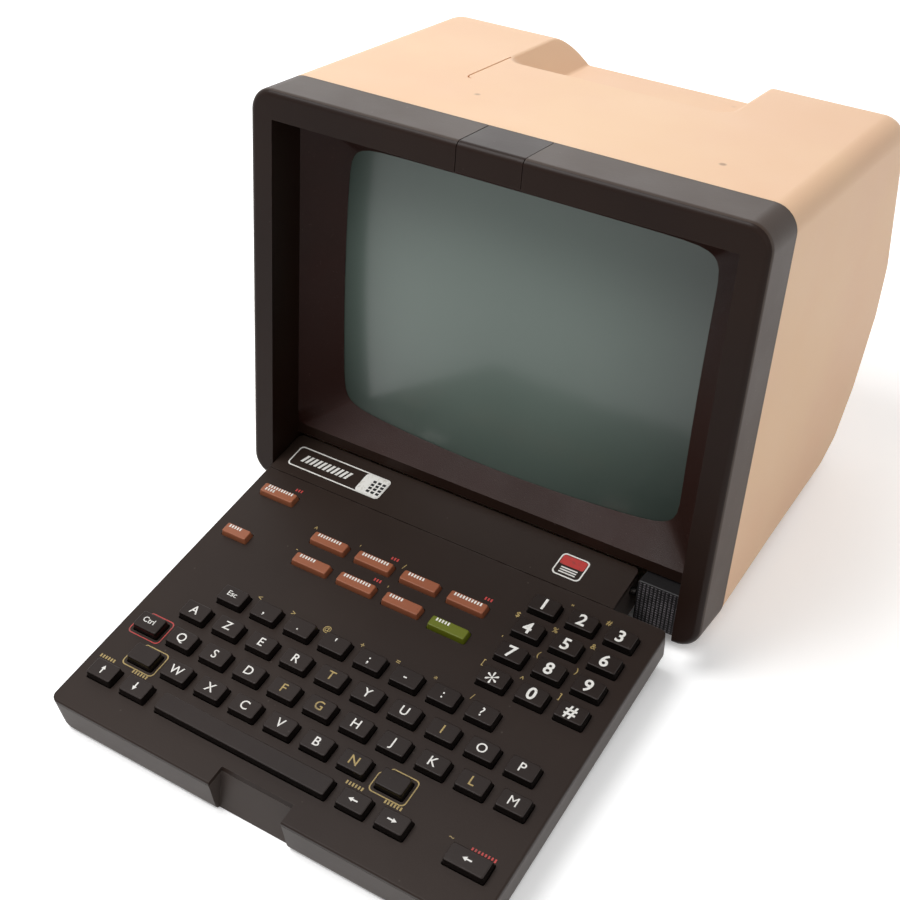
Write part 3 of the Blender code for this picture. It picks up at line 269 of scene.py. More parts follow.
# The sides of the brown keys get a darker copy of the key plastic: painted shade.
shaded_cap_side = moulded("key side with painted shade", (0.007, 0.005, 0.0045), (0.005, 0.004, 0.0035), (0.09, 0.075, 0.07),
                   (0.05, 0.04, 0.04), roughness=0.22, wear=0.6, reach=0.0004, specks=0.2, specular=0.25)
cap_brown = moulded("key plastic", (0.024, 0.016, 0.0135), (0.019, 0.0125, 0.0105), (0.15, 0.13, 0.115),
                    (0.10, 0.085, 0.075), roughness=0.33, wear=0.9, reach=0.0005, specks=0.3, specular=0.16)
terracotta = moulded("terracotta key plastic", (0.34, 0.112, 0.052), (0.29, 0.09, 0.042), (0.50, 0.27, 0.17),
                     (0.12, 0.05, 0.04), roughness=0.40, wear=0.8, reach=0.0005, specular=0.3)
olive = moulded("olive key plastic", (0.15, 0.17, 0.006), (0.12, 0.14, 0.006), (0.30, 0.34, 0.06),
                (0.05, 0.06, 0.02), roughness=0.40, wear=0.6, reach=0.0005, specular=0.3)
rubber = moulded("black rubber", (0.016, 0.015, 0.015), (0.022, 0.021, 0.020), (0.06, 0.055, 0.05),
                 (0.20, 0.18, 0.16), roughness=0.78, specks=0.6, wear=0.3, specular=0.3)
black_plastic = moulded("black moulded plastic", (0.012, 0.011, 0.012), (0.016, 0.015, 0.015),
                        (0.06, 0.06, 0.06), (0.15, 0.14, 0.13), roughness=0.42, specular=0.3)
# The studs are coloured lighter than the button face, and lighter still at their edges.
stud_grey = moulded("lighter stud plastic", (0.050, 0.042, 0.046), (0.040, 0.034, 0.038), (0.22, 0.19, 0.21),
                    (0.15, 0.13, 0.12), roughness=0.45, wear=0.9, reach=0.0003)
print("moulded plastics", 13)


# %% [markdown]
# The remaining finishes: the tube's phosphor seen through its glass, painted legends, bare metals, copper
# windings and the circuit boards. A dull tube looks grey green, and a clear coat gives the glass its
# shine. The glass colour also holds painted light: a painted reflection round one point, and painted shade
# that darkens the glass further from it, out to the rim.

# %% Glass, paints and metals
# Middle of the painted reflection on the glass.
painted_reflection_centre = (-0.015, 0.03, 0.115)


def tube_glass():
    finish, tree, shader = empty_material("picture tube glass")
    place = add(tree, "ShaderNodeTexCoord").outputs["Object"]
    cloud = add(tree, "ShaderNodeTexNoise", {"Vector": place, "Scale": 7.0, "Detail": 2.0}).outputs[0]
    phosphor = blend(tree, ramp(tree, cloud, 0.3, 0.7), (0.112, 0.155, 0.132), (0.128, 0.175, 0.148))
    # The glass keeps the phosphor colour near that point and darkens further from it: a painted reflection with
    # painted shade towards the rim.
    reach = add(tree, "ShaderNodeVectorMath", {0: place, 1: painted_reflection_centre}, operation="DISTANCE")
    shade = ramp(tree, reach.outputs["Value"], 0.03, 0.15)
    tree.links.new(blend(tree, shade, phosphor, (0.035, 0.050, 0.042)), shader["Base Color"])
    film = use(tree, grain, scale=400.0, roughness=0.32, spread=0.12)
    tree.links.new(film["Roughness"], shader["Roughness"])
    shader["Coat Weight"].default_value = 0.55
    shader["Coat Roughness"].default_value = 0.13
    return finish


def paint(name, colour, faded):
    finish, tree, shader = empty_material(name)
    place = add(tree, "ShaderNodeTexCoord").outputs["Object"]
    rubbed = add(tree, "ShaderNodeTexNoise", {"Vector": place, "Scale": 700.0, "Detail": 3.0}).outputs[0]
    tree.links.new(blend(tree, ramp(tree, rubbed, 0.5, 0.75), colour, faded), shader["Base Color"])
    tree.links.new(use(tree, grain, scale=800.0, roughness=0.5, spread=0.2)["Roughness"], shader["Roughness"])
    return finish


def metal(name, colour, stained, roughness):
    finish, tree, shader = empty_material(name)
    place = add(tree, "ShaderNodeTexCoord").outputs["Object"]
    stain = add(tree, "ShaderNodeTexNoise", {"Vector": place, "Scale": 60.0, "Detail": 6.0}).outputs[0]
    tree.links.new(blend(tree, ramp(tree, stain, 0.45, 0.7), colour, stained), shader["Base Color"])
    tree.links.new(use(tree, grain, scale=1200.0, roughness=roughness, spread=0.3)["Roughness"],
                   shader["Roughness"])
    shader["Metallic"].default_value = 1.0
    return finish


glass = tube_glass()
white_paint = paint("white legend paint", (0.83, 0.81, 0.77), (0.62, 0.59, 0.53))
yellow_paint = paint("yellowed legend paint", (0.42, 0.30, 0.10), (0.20, 0.15, 0.07))
red_paint = paint("red legend paint", (0.50, 0.035, 0.03), (0.25, 0.04, 0.035))
steel = metal("zinc plated steel", (0.56, 0.56, 0.55), (0.42, 0.41, 0.38), 0.35)
dark_steel = metal("blackened pin steel", (0.020, 0.018, 0.017), (0.012, 0.011, 0.010), 0.5)
copper = metal("enamelled copper winding", (0.50, 0.20, 0.08), (0.30, 0.11, 0.05), 0.35)
aluminium = metal("extruded aluminium", (0.66, 0.66, 0.66), (0.50, 0.50, 0.50), 0.38)
board_green = moulded("circuit board", (0.03, 0.15, 0.06), (0.04, 0.18, 0.07), (0.25, 0.22, 0.12),
                      (0.55, 0.55, 0.50), roughness=0.35, specks=0.9, speck_scale=420.0)
print("other finishes", 9)


# %% [markdown]
# Solids are drawn as loops of points that are bridged into a skin, the way a hull is lofted over frames.
# Flat outlines get round corners from arcs. Cuts are Booleans, worked out at once so that the result is
# plain mesh.

# %% Solid helpers
overrun = 0.004
seam = 0.0003


def loft(loops):
    solid = bmesh.new()
    rings = [[solid.verts.new(point) for point in loop] for loop in loops]
    count = len(rings[0])
    for ring, following in zip(rings, rings[1:]):
        for i in range(count):
            j = (i + 1) % count
            solid.faces.new((ring[i], ring[j], following[j], following[i]))
    solid.faces.new(rings[0])
    solid.faces.new(rings[-1])
    bmesh.ops.recalc_face_normals(solid, faces=solid.faces)
    return solid


def box(low, high):
    corners = ((low[0], low[1]), (high[0], low[1]), (high[0], high[1]), (low[0], high[1]))
    return plate(corners, low[2], high[2])


def plate(outline, low, high):
    """A solid with one outline in X and Y from a low to a high level."""
    return loft([[(x, y, z) for x, y in outline] for z in (low, high)])


def prism(profile, low, high):
    """A solid with one outline in Y and Z all the way along X."""
    return loft([[(x, y, z) for y, z in profile] for x in (low, high)])


def circle(radius, sides):
    return [(radius * cos(2 * pi * i / sides), radius * sin(2 * pi * i / sides)) for i in range(sides)]


def turned(stations, centre, sides=48):
    """A turned solid from pairs of radius and place along its axis, which is Y."""
    loops = []
    for radius, place in stations:
        ring = [(centre[0] + a, centre[1] + b) for a, b in circle(radius, sides)]
        loops.append([(a, place, b) for a, b in ring])
    return loft(loops)


def gathered(solids):
    """Separate solids as one mesh."""
    group = bmesh.new()
    for solid in solids:
        mesh = bpy.data.meshes.new("gathered")
        solid.to_mesh(mesh)
        solid.free()
        group.from_mesh(mesh)
        bpy.data.meshes.remove(mesh)
    return group


def combined(base, tool, operation):
    holders = []
    for solid in (base, tool):
        mesh = bpy.data.meshes.new("boolean work")
        solid.to_mesh(mesh)
        solid.free()
        holder = bpy.data.objects.new("boolean work", mesh)
        bpy.context.scene.collection.objects.link(holder)
        holders.append(holder)
    step = holders[0].modifiers.new("Boolean", "BOOLEAN")
    step.operation = operation
    step.solver = "EXACT"
    step.object = holders[1]
    shown = holders[0].evaluated_get(bpy.context.evaluated_depsgraph_get())
    result = bmesh.new()
    result.from_mesh(shown.to_mesh())
    shown.to_mesh_clear()
    for holder in holders:
        mesh = holder.data
        bpy.data.objects.remove(holder)
        bpy.data.meshes.remove(mesh)
    bmesh.ops.dissolve_degenerate(result, edges=result.edges, dist=seam / 100)
    return result


def cut(base, *tools):
    for tool in tools:
        base = combined(base, tool, "DIFFERENCE")
    return base


def joined(base, *tools):
    for tool in tools:
        base = combined(base, tool, "UNION")
    return base


def filleted(points, radii, steps):
    """A convex outline with each corner replaced by an arc."""
    outline = []
    count = len(points)
    for i in range(count):
        corner = Vector(points[i])
        towards = (Vector(points[i - 1]) - corner).normalized()
        away = (Vector(points[(i + 1) % count]) - corner).normalized()
        half_angle = towards.angle(away) / 2
        reach = radii[i] / tan(half_angle)
        centre = corner + (towards + away).normalized() * (radii[i] / sin(half_angle))
        start = corner + towards * reach - centre
        end = corner + away * reach - centre
        sweep = start.angle(end)
        for step in range(steps + 1):
            share = step / steps
            spoke = start * sin((1 - share) * sweep) + end * sin(share * sweep)
            outline.append(tuple(centre + spoke / sin(sweep)))
    return outline


def inset(points, distance):
    moved = []
    count = len(points)
    for i in range(count):
        corner = Vector(points[i])
        along_in = (corner - Vector(points[i - 1])).normalized()
        along_out = (Vector(points[(i + 1) % count]) - corner).normalized()
        normal_in = Vector((-along_in.y, along_in.x))
        normal_out = Vector((-along_out.y, along_out.x))
        moved.append(tuple(corner + (normal_in + normal_out) * (distance / (1 + normal_in.dot(normal_out)))))
    return moved


def rounded(low, high, radius, steps=8):
    corners = [(low[0], low[1]), (high[0], low[1]), (high[0], high[1]), (low[0], high[1])]
    return filleted(corners, [radius] * len(corners), steps)


def quarter(steps):
    """Sine and cosine complements along a quarter turn, for rounding an edge."""
    return [(1 - sin(pi / 2 * i / steps), 1 - cos(pi / 2 * i / steps)) for i in range(steps + 1)]


print("solid helpers", [helper.__name__ for helper in (loft, plate, box, prism, turned, cut, joined)])


# %% [markdown]
# Every finished piece goes through one function. It moves the points to their place in the room, so that
# the object itself stays at the origin, shades the round faces smooth and the flat ones flat, and tells
# the frame which body the piece rides on, which finish it has and which plain solids it stands for.

# %% Finishing a piece
smooth_angle = radians(32)


def finished(name, solid, place, finishes, body, nodes=()):
    if isinstance(solid, bmesh.types.BMesh):
        mesh = bpy.data.meshes.new(name)
        solid.to_mesh(mesh)
        solid.free()
    else:
        mesh = solid
        mesh.name = name
    mesh.transform(place)
    mesh.shade_smooth()
    mesh.set_sharp_from_angle(angle=smooth_angle)
    for finish in (finishes if isinstance(finishes, (list, tuple)) else (finishes,)):
        mesh.materials.append(finish)
    item = bpy.data.objects.new(name, mesh)
    bpy.context.scene.collection.objects.link(item)
    weights = item.modifiers.new("Flat faces stay flat", "WEIGHTED_NORMAL")
    weights.keep_sharp = True
    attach(item, body)
    if nodes:
        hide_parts(*nodes)
    print(name, len(mesh.polygons), "faces")
    return item


# %% [markdown]
# The cabinet is one moulding. Its side view is a polygon with round corners, and the side walls meet it
# in a generous round edge, so the form is lofted across from the left wall to the right one. A hollow at
# the top back takes a hand, and a fine groove runs forward from its corner.

# %% Cabinet
bezel_width = 0.2455
bezel_height = 0.1962
band_depth = 0.026
half_width = bezel_width / 2
shell_wall = 0.0027
side_round = 0.011
profile_round = 0.018
shell_narrowing = 0.0008
shell_rear = 0.1988
shell_start = band_depth - 2 * side_round
front_low = -0.0064
cabinet_side = [(shell_start, front_low), (0.0832, 0.0055), (0.1497, 0.0132), (0.1686, 0.0222),
                (0.1858, 0.0475), (shell_rear, 0.086), (shell_rear, 0.115), (0.1698, bezel_height),
                (shell_start, bezel_height)]
side_steps = 10
profile_steps = 8
recess_floor_half = 0.044
recess_rim_half = 0.0575
recess_front = 0.110
recess_run = 0.0135
recess_drop = 0.0142
recess_corner = 0.009
recess_rim_round = 0.0012
groove_front = 0.075
groove_width = 0.0008
groove_depth = 0.0009
groove_hook = 0.003
arm_width = 0.01225
relief_back = 0.0287
cover_top = 0.021
cover_lead = 0.020
port_radii = {"peripheral_socket": 0.0085, "line_cord_gland": 0.0042, "mains_cord_gland": 0.0042,
              "brightness_knob": 0.003}


def narrowing(y):
    return 1 - max(y - band_depth, 0) / (shell_rear - band_depth) * shell_narrowing / half_width


def cabinet_solid(margin):
    loops = []
    for side in (-1, 1):
        steps = quarter(side_steps)
        for across, depth in (reversed(steps) if side < 0 else steps):
            inwards = (side_round - margin) * depth
            radius = profile_round - margin - inwards
            corners = inset(cabinet_side, margin + inwards)
            outline = filleted(corners, [radius] * len(corners), profile_steps)
            x = side * (half_width - margin - (side_round - margin) * across)
            loops.append([(x * narrowing(y), y, z) for y, z in outline])
    return loft(loops)


def hand_recess(margin):
    floor = bezel_height - recess_drop - margin
    spread = (recess_rim_half - recess_floor_half) * overrun / recess_drop
    back = recess_run * overrun / recess_drop
    loops = []
    for z, half, forward in ((floor, recess_floor_half, 0), (bezel_height, recess_rim_half, recess_run),
                             (bezel_height + overrun, recess_rim_half + spread, recess_run + back)):
        outline = rounded((-half - margin, recess_front + recess_run - forward - margin),
                          (half + margin, shell_rear + overrun), recess_corner)
        loops.append([(x, y, z) for x, y in outline])
    return loft(loops)


def groove():
    """The fine groove on the top, with a round hook at its front end."""
    path = [(-recess_rim_half, recess_front + 0.006), (-recess_rim_half, groove_front + groove_hook)]
    for step in range(1, 7):
        turn = pi / 2 * step / 6
        path.append((-recess_rim_half + groove_hook * (1 - cos(turn)),
                     groove_front + groove_hook * (1 - sin(turn))))
    left = []
    right = []
    for i, point in enumerate(path):
        ahead = Vector(path[min(i + 1, len(path) - 1)]) - Vector(path[max(i - 1, 0)])
        across = Vector((-ahead.y, ahead.x)).normalized() * groove_width / 2
        left.append(Vector(point) + across)
        right.append(Vector(point) - across)
    outline = left + right[::-1]
    return plate(outline, bezel_height - groove_depth, bezel_height + overrun)


def round_edges(solid, chosen, width, segments):
    """Rounds the sharp edges of a solid that a test picks by their middle point."""
    solid.edges.ensure_lookup_table()
    edges = [edge for edge in solid.edges if len(edge.link_faces) == 2
             and edge.calc_face_angle(0) > smooth_angle * 0.8
             and chosen((edge.verts[0].co + edge.verts[1].co) / 2)]
    bmesh.ops.bevel(solid, geom=edges, offset=width, segments=segments, profile=0.5, affect="EDGES",
                    clamp_overlap=True)
    return solid


def floor_openings():
    """The relief behind the hinge, and the opening that the base cover fills, turned into the body frame."""
    half = half_width - arm_width + seam
    relief = box((-half, band_depth + seam - overrun, front_low - overrun), (half, relief_back, shell_wall))
    low, high = span("base_cover", Matrix.Identity(4))
    opening = box((low.x - seam, low.y - cover_lead, -overrun), (high.x + seam, high.y + seam, cover_top))
    opening.transform(to_body.inverted())
    return relief, opening


def rear_middle(node):
    low, high = span(node, to_body)
    return ((low.x + high.x) / 2, (low.z + high.z) / 2), low, high


def ports():
    """The round holes at the back, each in line with the part that sits in it."""
    holes = []
    for node, radius in port_radii.items():
        centre, low, high = rear_middle(node)
        stations = ((radius + seam, shell_rear - 3 * shell_wall), (radius + seam, shell_rear + overrun))
        holes.append(turned(stations, centre))
    return gathered(holes)


def at_recess(point):
    """Whether a point of the cabinet lies on the hand recess or its rim."""
    return (point.z > bezel_height - recess_drop - seam and abs(point.x) < recess_rim_half + seam
            and point.y > recess_front - overrun)


def cabinet():
    cavity = cut(cabinet_solid(shell_wall), hand_recess(shell_wall))
    front = band_depth + seam
    front_cut = box((-bezel_width, -bezel_width, -bezel_width), (bezel_width, front, 2 * bezel_height))
    solid = cut(cabinet_solid(0), hand_recess(0))
    solid = round_edges(solid, at_recess, recess_rim_round, 4)
    return cut(solid, cavity, front_cut, groove(), *floor_openings(), ports())


finished("cabinet_moulding", cabinet(), to_body, peach, "terminal", ["rear_shell"])

# %% [markdown]
# The bezel is the dark frame in front. Its outer band has a round front edge, and its inner walls run
# straight back before they slope in to the glass. Those slopes are ruled surfaces between a near
# rectangle and the barrel outline of the tube, so both outlines get the same number of points and are
# simply bridged.

# %% Bezel
bezel_corner = 0.011
bezel_front_round = 0.003
arm_drop = 0.0037
top_bar = 0.0132
pocket_depth = 0.021
lip_top = 0.019
lip_bottom = 0.0135
mask_depth = 0.038
mask_wall = 0.004
opening_half = half_width - arm_width
opening_top = bezel_height - top_bar
aperture_half_width = opening_half - 0.0185
aperture_half_height = (opening_top - lip_top) / 2 - 0.01175
aperture_height = (opening_top + lip_top) / 2 - 0.00225
aperture_power = 16
aperture_bow_share = 0.035
opening_power = 60
face_front = 0.028
face_radius = 0.86
tube_overlap = 0.0035
latch_left = -0.0156
latch_right = 0.0155
outline_steps = 20


def side_shares():
    """Places along a side, closer together near its corners."""
    return [-cos(pi * i / outline_steps) for i in range(outline_steps)]


def barrel(half_across, half_up, centre_up, power, bow_share=0):
    shares = side_shares()
    square = ([(s, -1) for s in shares] + [(1, s) for s in shares]
              + [(-s, 1) for s in shares] + [(-1, -s) for s in shares])
    outline = []
    for a, b in square:
        reach = (abs(a) ** power + abs(b) ** power) ** (-1 / power)
        bow = 1 - bow_share * a * a
        outline.append((a * reach * half_across, centre_up + b * reach * half_up * bow))
    return outline


def face_depth(x, z):
    return face_front + (x * x + (z - aperture_height) ** 2) / (2 * face_radius)


def pocket_loop(y, grow=0.0):
    half_up = (opening_top - lip_top) / 2 + grow
    centre_up = (opening_top + lip_top) / 2
    return [(x, y, z) for x, z in barrel(opening_half + grow, half_up, centre_up, opening_power)]


def aperture_loop(grow, back=None):
    outline = barrel(aperture_half_width + grow, aperture_half_height + grow, aperture_height,
                     aperture_power, aperture_bow_share)
    return [(x, face_depth(x, z) if back is None else back, z) for x, z in outline]


def tube_rings(grow, forward, rings=10):
    """The curved face of the tube as rings, from its middle out to the rim."""
    loops = []
    for i in range(1, rings + 1):
        share = i / rings
        ring = [(x * share, aperture_height + (z - aperture_height) * share)
                for x, _, z in aperture_loop(grow)]
        loops.append([(x, face_depth(x, z) - forward, z) for x, z in ring])
    return loops


def bezel():
    loops = []
    for across, depth in quarter(8):
        margin = bezel_front_round * across
        outline = rounded((margin - half_width, margin - arm_drop),
                          (half_width - margin, bezel_height - margin), bezel_corner - margin)
        loops.append([(x, bezel_front_round * depth, z) for x, z in outline])
    loops.append([(x, band_depth, z) for x, _, z in loops[-1]])
    band = loft(loops)
    below = -arm_drop - overrun
    pocket = box((-opening_half, -overrun, below), (opening_half, pocket_depth, opening_top))
    undercut = box((-opening_half, -overrun, below), (opening_half, band_depth + overrun, lip_bottom))
    mask_front = (band_depth + pocket_depth) / 2
    mask = loft([pocket_loop(mask_front, mask_wall / 2), aperture_loop(mask_wall * 1.5, mask_depth)])
    opening = loft([pocket_loop(pocket_depth - seam), pocket_loop(pocket_depth),
                    [(x, y - seam, z) for x, y, z in aperture_loop(0)],
                    aperture_loop(0, mask_depth + overrun)])
    seat = loft(tube_rings(tube_overlap + seam, seam)
                + [aperture_loop(tube_overlap + seam, mask_depth + overrun)])
    latch_slot = box((latch_left - seam, -overrun, opening_top - seam),
                     (latch_right + seam, band_depth + overrun, bezel_height + overrun))
    solid = joined(cut(band, pocket, undercut), mask)
    return cut(solid, opening, seat, latch_slot)


def sloping(face):
    """Whether a face of the bezel is one of the slopes that lead in to the glass."""
    middle = face.calc_center_median()
    return pocket_depth - seam < middle.y < mask_depth - seam and 0.05 < -face.normal.y < 0.95


def outer(face):
    """Whether a face belongs to the band round the bezel, behind its round front edge; these faces are painted
    lighter as sheen.
    """
    middle = face.calc_center_median()
    edge = max(abs(middle.x) - half_width, middle.z - bezel_height, -arm_drop - middle.z)
    return abs(face.normal.y) < 0.5 and edge > -bezel_corner / 3


def painted_bezel():
    solid = bezel()
    solid.normal_update()
    for face in solid.faces:
        # Faces of the outer band take the lighter copy of the plastic, which is painted sheen.
        face.material_index = 1 if sloping(face) else 2 if outer(face) else 0
    return solid


finished("bezel_frame", painted_bezel(), to_body, (bezel_brown, chin_brown, sheen_painted_band_brown), "terminal",
         ["front_bezel"])

# %% [markdown]
# The tube shows only its curved face. Behind it the glass runs back as a funnel to a narrow neck, as the
# plain solid does, so the piece can stand in for it.

# %% Picture tube
funnel_end = 0.132
neck_end = 0.178
neck_radius = 0.011
rim_depth = 0.0183
rim_edge = face_depth(aperture_half_width + tube_overlap,
                      aperture_height + aperture_half_height + tube_overlap)
rim_back = rim_edge + rim_depth


def funnel_loop(y, roundness):
    loop = []
    for x, _, z in aperture_loop(tube_overlap):
        up = z - aperture_height
        distance = sqrt(x * x + up * up)
        loop.append((x + (x / distance * neck_radius - x) * roundness, y,
                     aperture_height + up + (up / distance * neck_radius - up) * roundness))
    return loop


def picture_tube():
    loops = tube_rings(tube_overlap, 0, 16) + [aperture_loop(tube_overlap, rim_back)]
    for step in range(1, 11):
        share = step / 10
        loops.append(funnel_loop(rim_back + (funnel_end - rim_back) * share, share))
    return loft(loops + [funnel_loop(neck_end, 1)])


finished("picture_tube_glass", picture_tube(), to_body, glass, "terminal", ["picture_tube"])

# %% [markdown]
# The keyboard case is two flat shells. The upper one is a plate with a hole for every key and rounded
# rims, and its outline keeps clear of the power button at the back and of the latch at the front.

# %% Keyboard case
keyboard_half = 0.1098
keyboard_rear = 0.001
keyboard_front = 0.1883
keyboard_thickness = 0.020
keyboard_corner = 0.004
panel_thickness = 0.002
panel_round = 0.0009
pocket_left = 0.0830
pocket_corner = 0.003
panel_rear_corner = 0.004
pocket_front = 0.0283
notch_left = -0.0203
notch_right = 0.0172
notch_top_depth = 0.0095
notch_foot_depth = 0.0018
crease_width = 0.0006
crease_depth = 0.0005
flange_margin = 0.0011
key_gap = 0.0003
hole_round = 0.0009
key_nodes = [name for name, parts in frame["record"]["behaviour"]["bodies"].items()
             if parts == [name] and (name.startswith("keypad") or name.endswith(("keys", "key", "bar"))
                                     or name.startswith("function"))]
row_counts = {"punctuation_keys": 8, "top_letter_keys": 10, "middle_letter_keys": 11, "bottom_letter_keys": 8,
              "upright_arrow_keys": 2, "level_arrow_keys": 2}
cap_width = 0.0140


def key_row(node):
    """Where the keys of a node lie on the panel: first centre, step, width, length, height, count."""
    low, high = span(node, to_panel)
    count = row_counts.get(node, 1)
    across = high.x - low.x - 2 * flange_margin
    width = cap_width if count > 1 else across
    step = (across - width) / max(count - 1, 1)
    return (low.x + flange_margin + width / 2, (low.y + high.y) / 2, step, width,
            high.y - low.y - 2 * flange_margin, high.z, count)


def panel_outline(margin):
    half = keyboard_half - margin
    return rounded((-half, margin - keyboard_front), (half, -keyboard_rear - margin),
                   max(keyboard_corner - margin, panel_round))


def edge_round(radius, top, steps):
    """Insets and heights that round the top edge of a plate."""
    turns = [pi / 2 * step / steps for step in range(1, steps + 1)]
    return [(radius * (1 - cos(turn)), top - radius * (1 - sin(turn))) for turn in turns]


def slab(stations):
    return loft([[(x, y, z) for x, y in panel_outline(margin)] for margin, z in stations])


def rear_pocket():
    return box((pocket_left, -pocket_front, -keyboard_thickness - overrun),
               (keyboard_half + overrun, overrun, overrun))


def outside_corner(x, y, radius):
    """What a round corner takes off the panel, at a corner that points right and back."""
    outline = [(x - radius * across, y - radius * (1 - depth))
               for across, depth in ((1 - cos(pi / 2 * i / 8), sin(pi / 2 * i / 8)) for i in range(9))]
    outline += [(x - radius, y + overrun), (x + overrun, y + overrun), (x + overrun, y - radius)]
    return plate(outline, -keyboard_thickness - overrun, overrun)


def latch_notch():
    top = notch_top_depth - keyboard_front
    foot = notch_foot_depth - keyboard_front
    lean = (top - foot) / keyboard_thickness
    front = -keyboard_front - overrun
    profile = [(top + overrun * lean, overrun), (front, overrun), (front, -keyboard_thickness - overrun),
               (foot - overrun * lean, -keyboard_thickness - overrun)]
    return prism(profile, notch_left, notch_right)


def key_holes():
    holes = []
    for node in key_nodes:
        x, y, step, width, length, height, count = key_row(node)
        for i in range(count):
            centre = x + step * i
            low = (centre - width / 2 - key_gap, y - length / 2 - key_gap)
            high = (centre + width / 2 + key_gap, y + length / 2 + key_gap)
            outline = rounded(low, high, hole_round, 3)
            holes.append(plate(outline, -panel_thickness - overrun, overrun))
    return gathered(holes)


def keyboard_panel():
    plate = slab([(0, -panel_thickness), (0, -panel_round)] + edge_round(panel_round, 0, 5))
    crease = box((-bezel_width, -pocket_front - crease_width / 2, -crease_depth),
                 (pocket_left + overrun, -pocket_front + crease_width / 2, overrun))
    corners = (outside_corner(pocket_left, -keyboard_rear, panel_rear_corner),
               outside_corner(keyboard_half, -pocket_front, pocket_corner))
    return cut(plate, rear_pocket(), *corners, latch_notch(), key_holes(), crease)


finished("keyboard_panel", keyboard_panel(), to_panel, panel_brown, "keyboard",
         ["keyboard_top_shell"])

# %% [markdown]
# Keys repeat, so Geometry Nodes lay them out. One cap goes into the tree, a line of points gives the
# places, and the instances are made real at the end, because an export drops instances.

# %% Repeating a shape
def repeat_tree():
    tree, given, out = group_tree("repeat on a grid", "GeometryNodeTree",
                                  [("Shape", "Geometry"), ("Columns", "Int", 1), ("Rows", "Int", 1),
                                   ("Column step", "Vector"), ("Row step", "Vector"), ("Finish", "Material")],
                                  [("Shape", "Geometry")])
    lines = []
    for count, step in (("Columns", "Column step"), ("Rows", "Row step")):
        line = add(tree, "GeometryNodeMeshLine", {"Count": given[count], "Offset": given[step]})
        lines.append(line.outputs[0])
    grid = add(tree, "GeometryNodeInstanceOnPoints", {"Points": lines[0], "Instance": lines[1]}).outputs[0]
    points = add(tree, "GeometryNodeRealizeInstances", {0: grid}).outputs[0]
    copies = add(tree, "GeometryNodeInstanceOnPoints", {"Points": points, "Instance": given["Shape"]})
    real = add(tree, "GeometryNodeRealizeInstances", {0: copies.outputs[0]}).outputs[0]
    painted = add(tree, "GeometryNodeSetMaterial", {"Geometry": real, "Material": given["Finish"]})
    tree.links.new(painted.outputs[0], out["Shape"])
    return tree


grid_tree = repeat_tree()


def repeated(solid, columns, rows, column_step, row_step, finish):
    """The mesh of a shape repeated on a grid by the node tree."""
    mesh = bpy.data.meshes.new("one of many")
    solid.to_mesh(mesh)
    solid.free()
    holder = bpy.data.objects.new("one of many", mesh)
    bpy.context.scene.collection.objects.link(holder)
    step = holder.modifiers.new("Repeat", "NODES")
    step.node_group = grid_tree
    values = {"Columns": columns, "Rows": rows, "Column step": column_step, "Row step": row_step,
              "Finish": finish}
    for item in grid_tree.interface.items_tree:
        if item.in_out == "INPUT" and item.name in values:
            step[item.identifier] = values[item.name]
    shown = holder.evaluated_get(bpy.context.evaluated_depsgraph_get())
    result = bpy.data.meshes.new_from_object(shown)
    bpy.data.objects.remove(holder)
    bpy.data.meshes.remove(mesh)
    return result


print("node tree", grid_tree.name)


# %% [markdown]
# A cap is a small tapered block with a soft top edge. Its foot ends where the plain key's does, so that a
# pressed key stays clear of the mat below.

# %% Key caps
cap_taper = 0.00045
cap_round = 0.0005
cap_corner = 0.0009
cap_foot = span("space_bar", to_panel)[0].z


def key_cap(width, length, height):
    loops = []
    for margin, z in [(0, cap_foot), (0, 0)] + [(cap_taper, height - cap_round)] + [
            (cap_taper + inwards, z) for inwards, z in edge_round(cap_round, height, 4)]:
        outline = rounded((margin - width / 2, margin - length / 2),
                          (width / 2 - margin, length / 2 - margin), cap_corner, 5)
        loops.append([(x, y, z) for x, y in outline])
    return loft(loops)


def finish_of(node):
    if node.startswith("function"):
        return terracotta, "key_terracotta"
    if node.startswith("send"):
        return olive, "key_olive"
    return cap_brown, "key_brown"


print("keys", len(key_nodes))

# %% [markdown]
# Legends are thin letters that lie on the caps, like the printed ones. Only plain letters, digits and
# signs are drawn. Where the real keys carry words of their maker's service, a row of small strokes stands
# for them.

# %% Legends
letter_size = 0.0062
digit_size = 0.0086
small_size = 0.0040
capital_share = 0.70
letter_gain = 0.008
digit_gain = 0.022
print_relief = 0.00004
print_gap = 0.00002
legend_shift = (-0.0003, 0.0003)
star_size = 0.0140
star_drop = 0.0032
unspread_letters = set("M*")
stroke_width = 0.0008
stroke_step = 0.0015
stroke_height = 0.0017
stroke_shift = 0.0010
arrow_length = 0.0044
arrow_head = 0.0020
arrow_line = 0.0007
legends = {
    "punctuation_keys": ("Esc", ",", ".", "'", ";", "-", ":", "?"),
    "top_letter_keys": tuple("AZERTYUIOP"),
    "middle_letter_keys": ("Ctrl", *"QSDFGHJKLM"),
    "bottom_letter_keys": ("", *"WXCVBN", ""),
    "keypad_one": ("1",), "keypad_two": ("2",), "keypad_three": ("3",), "keypad_four": ("4",),
    "keypad_five": ("5",), "keypad_six": ("6",), "keypad_seven": ("7",), "keypad_eight": ("8",),
    "keypad_nine": ("9",), "keypad_star": ("*",), "keypad_zero": ("0",), "keypad_hash": ("#",),
}
faded_letters = set("TFGNIL")
arrow_turns = {"upright_arrow_keys": (pi / 2, -pi / 2), "level_arrow_keys": (pi, 0), "return_key": (pi,)}
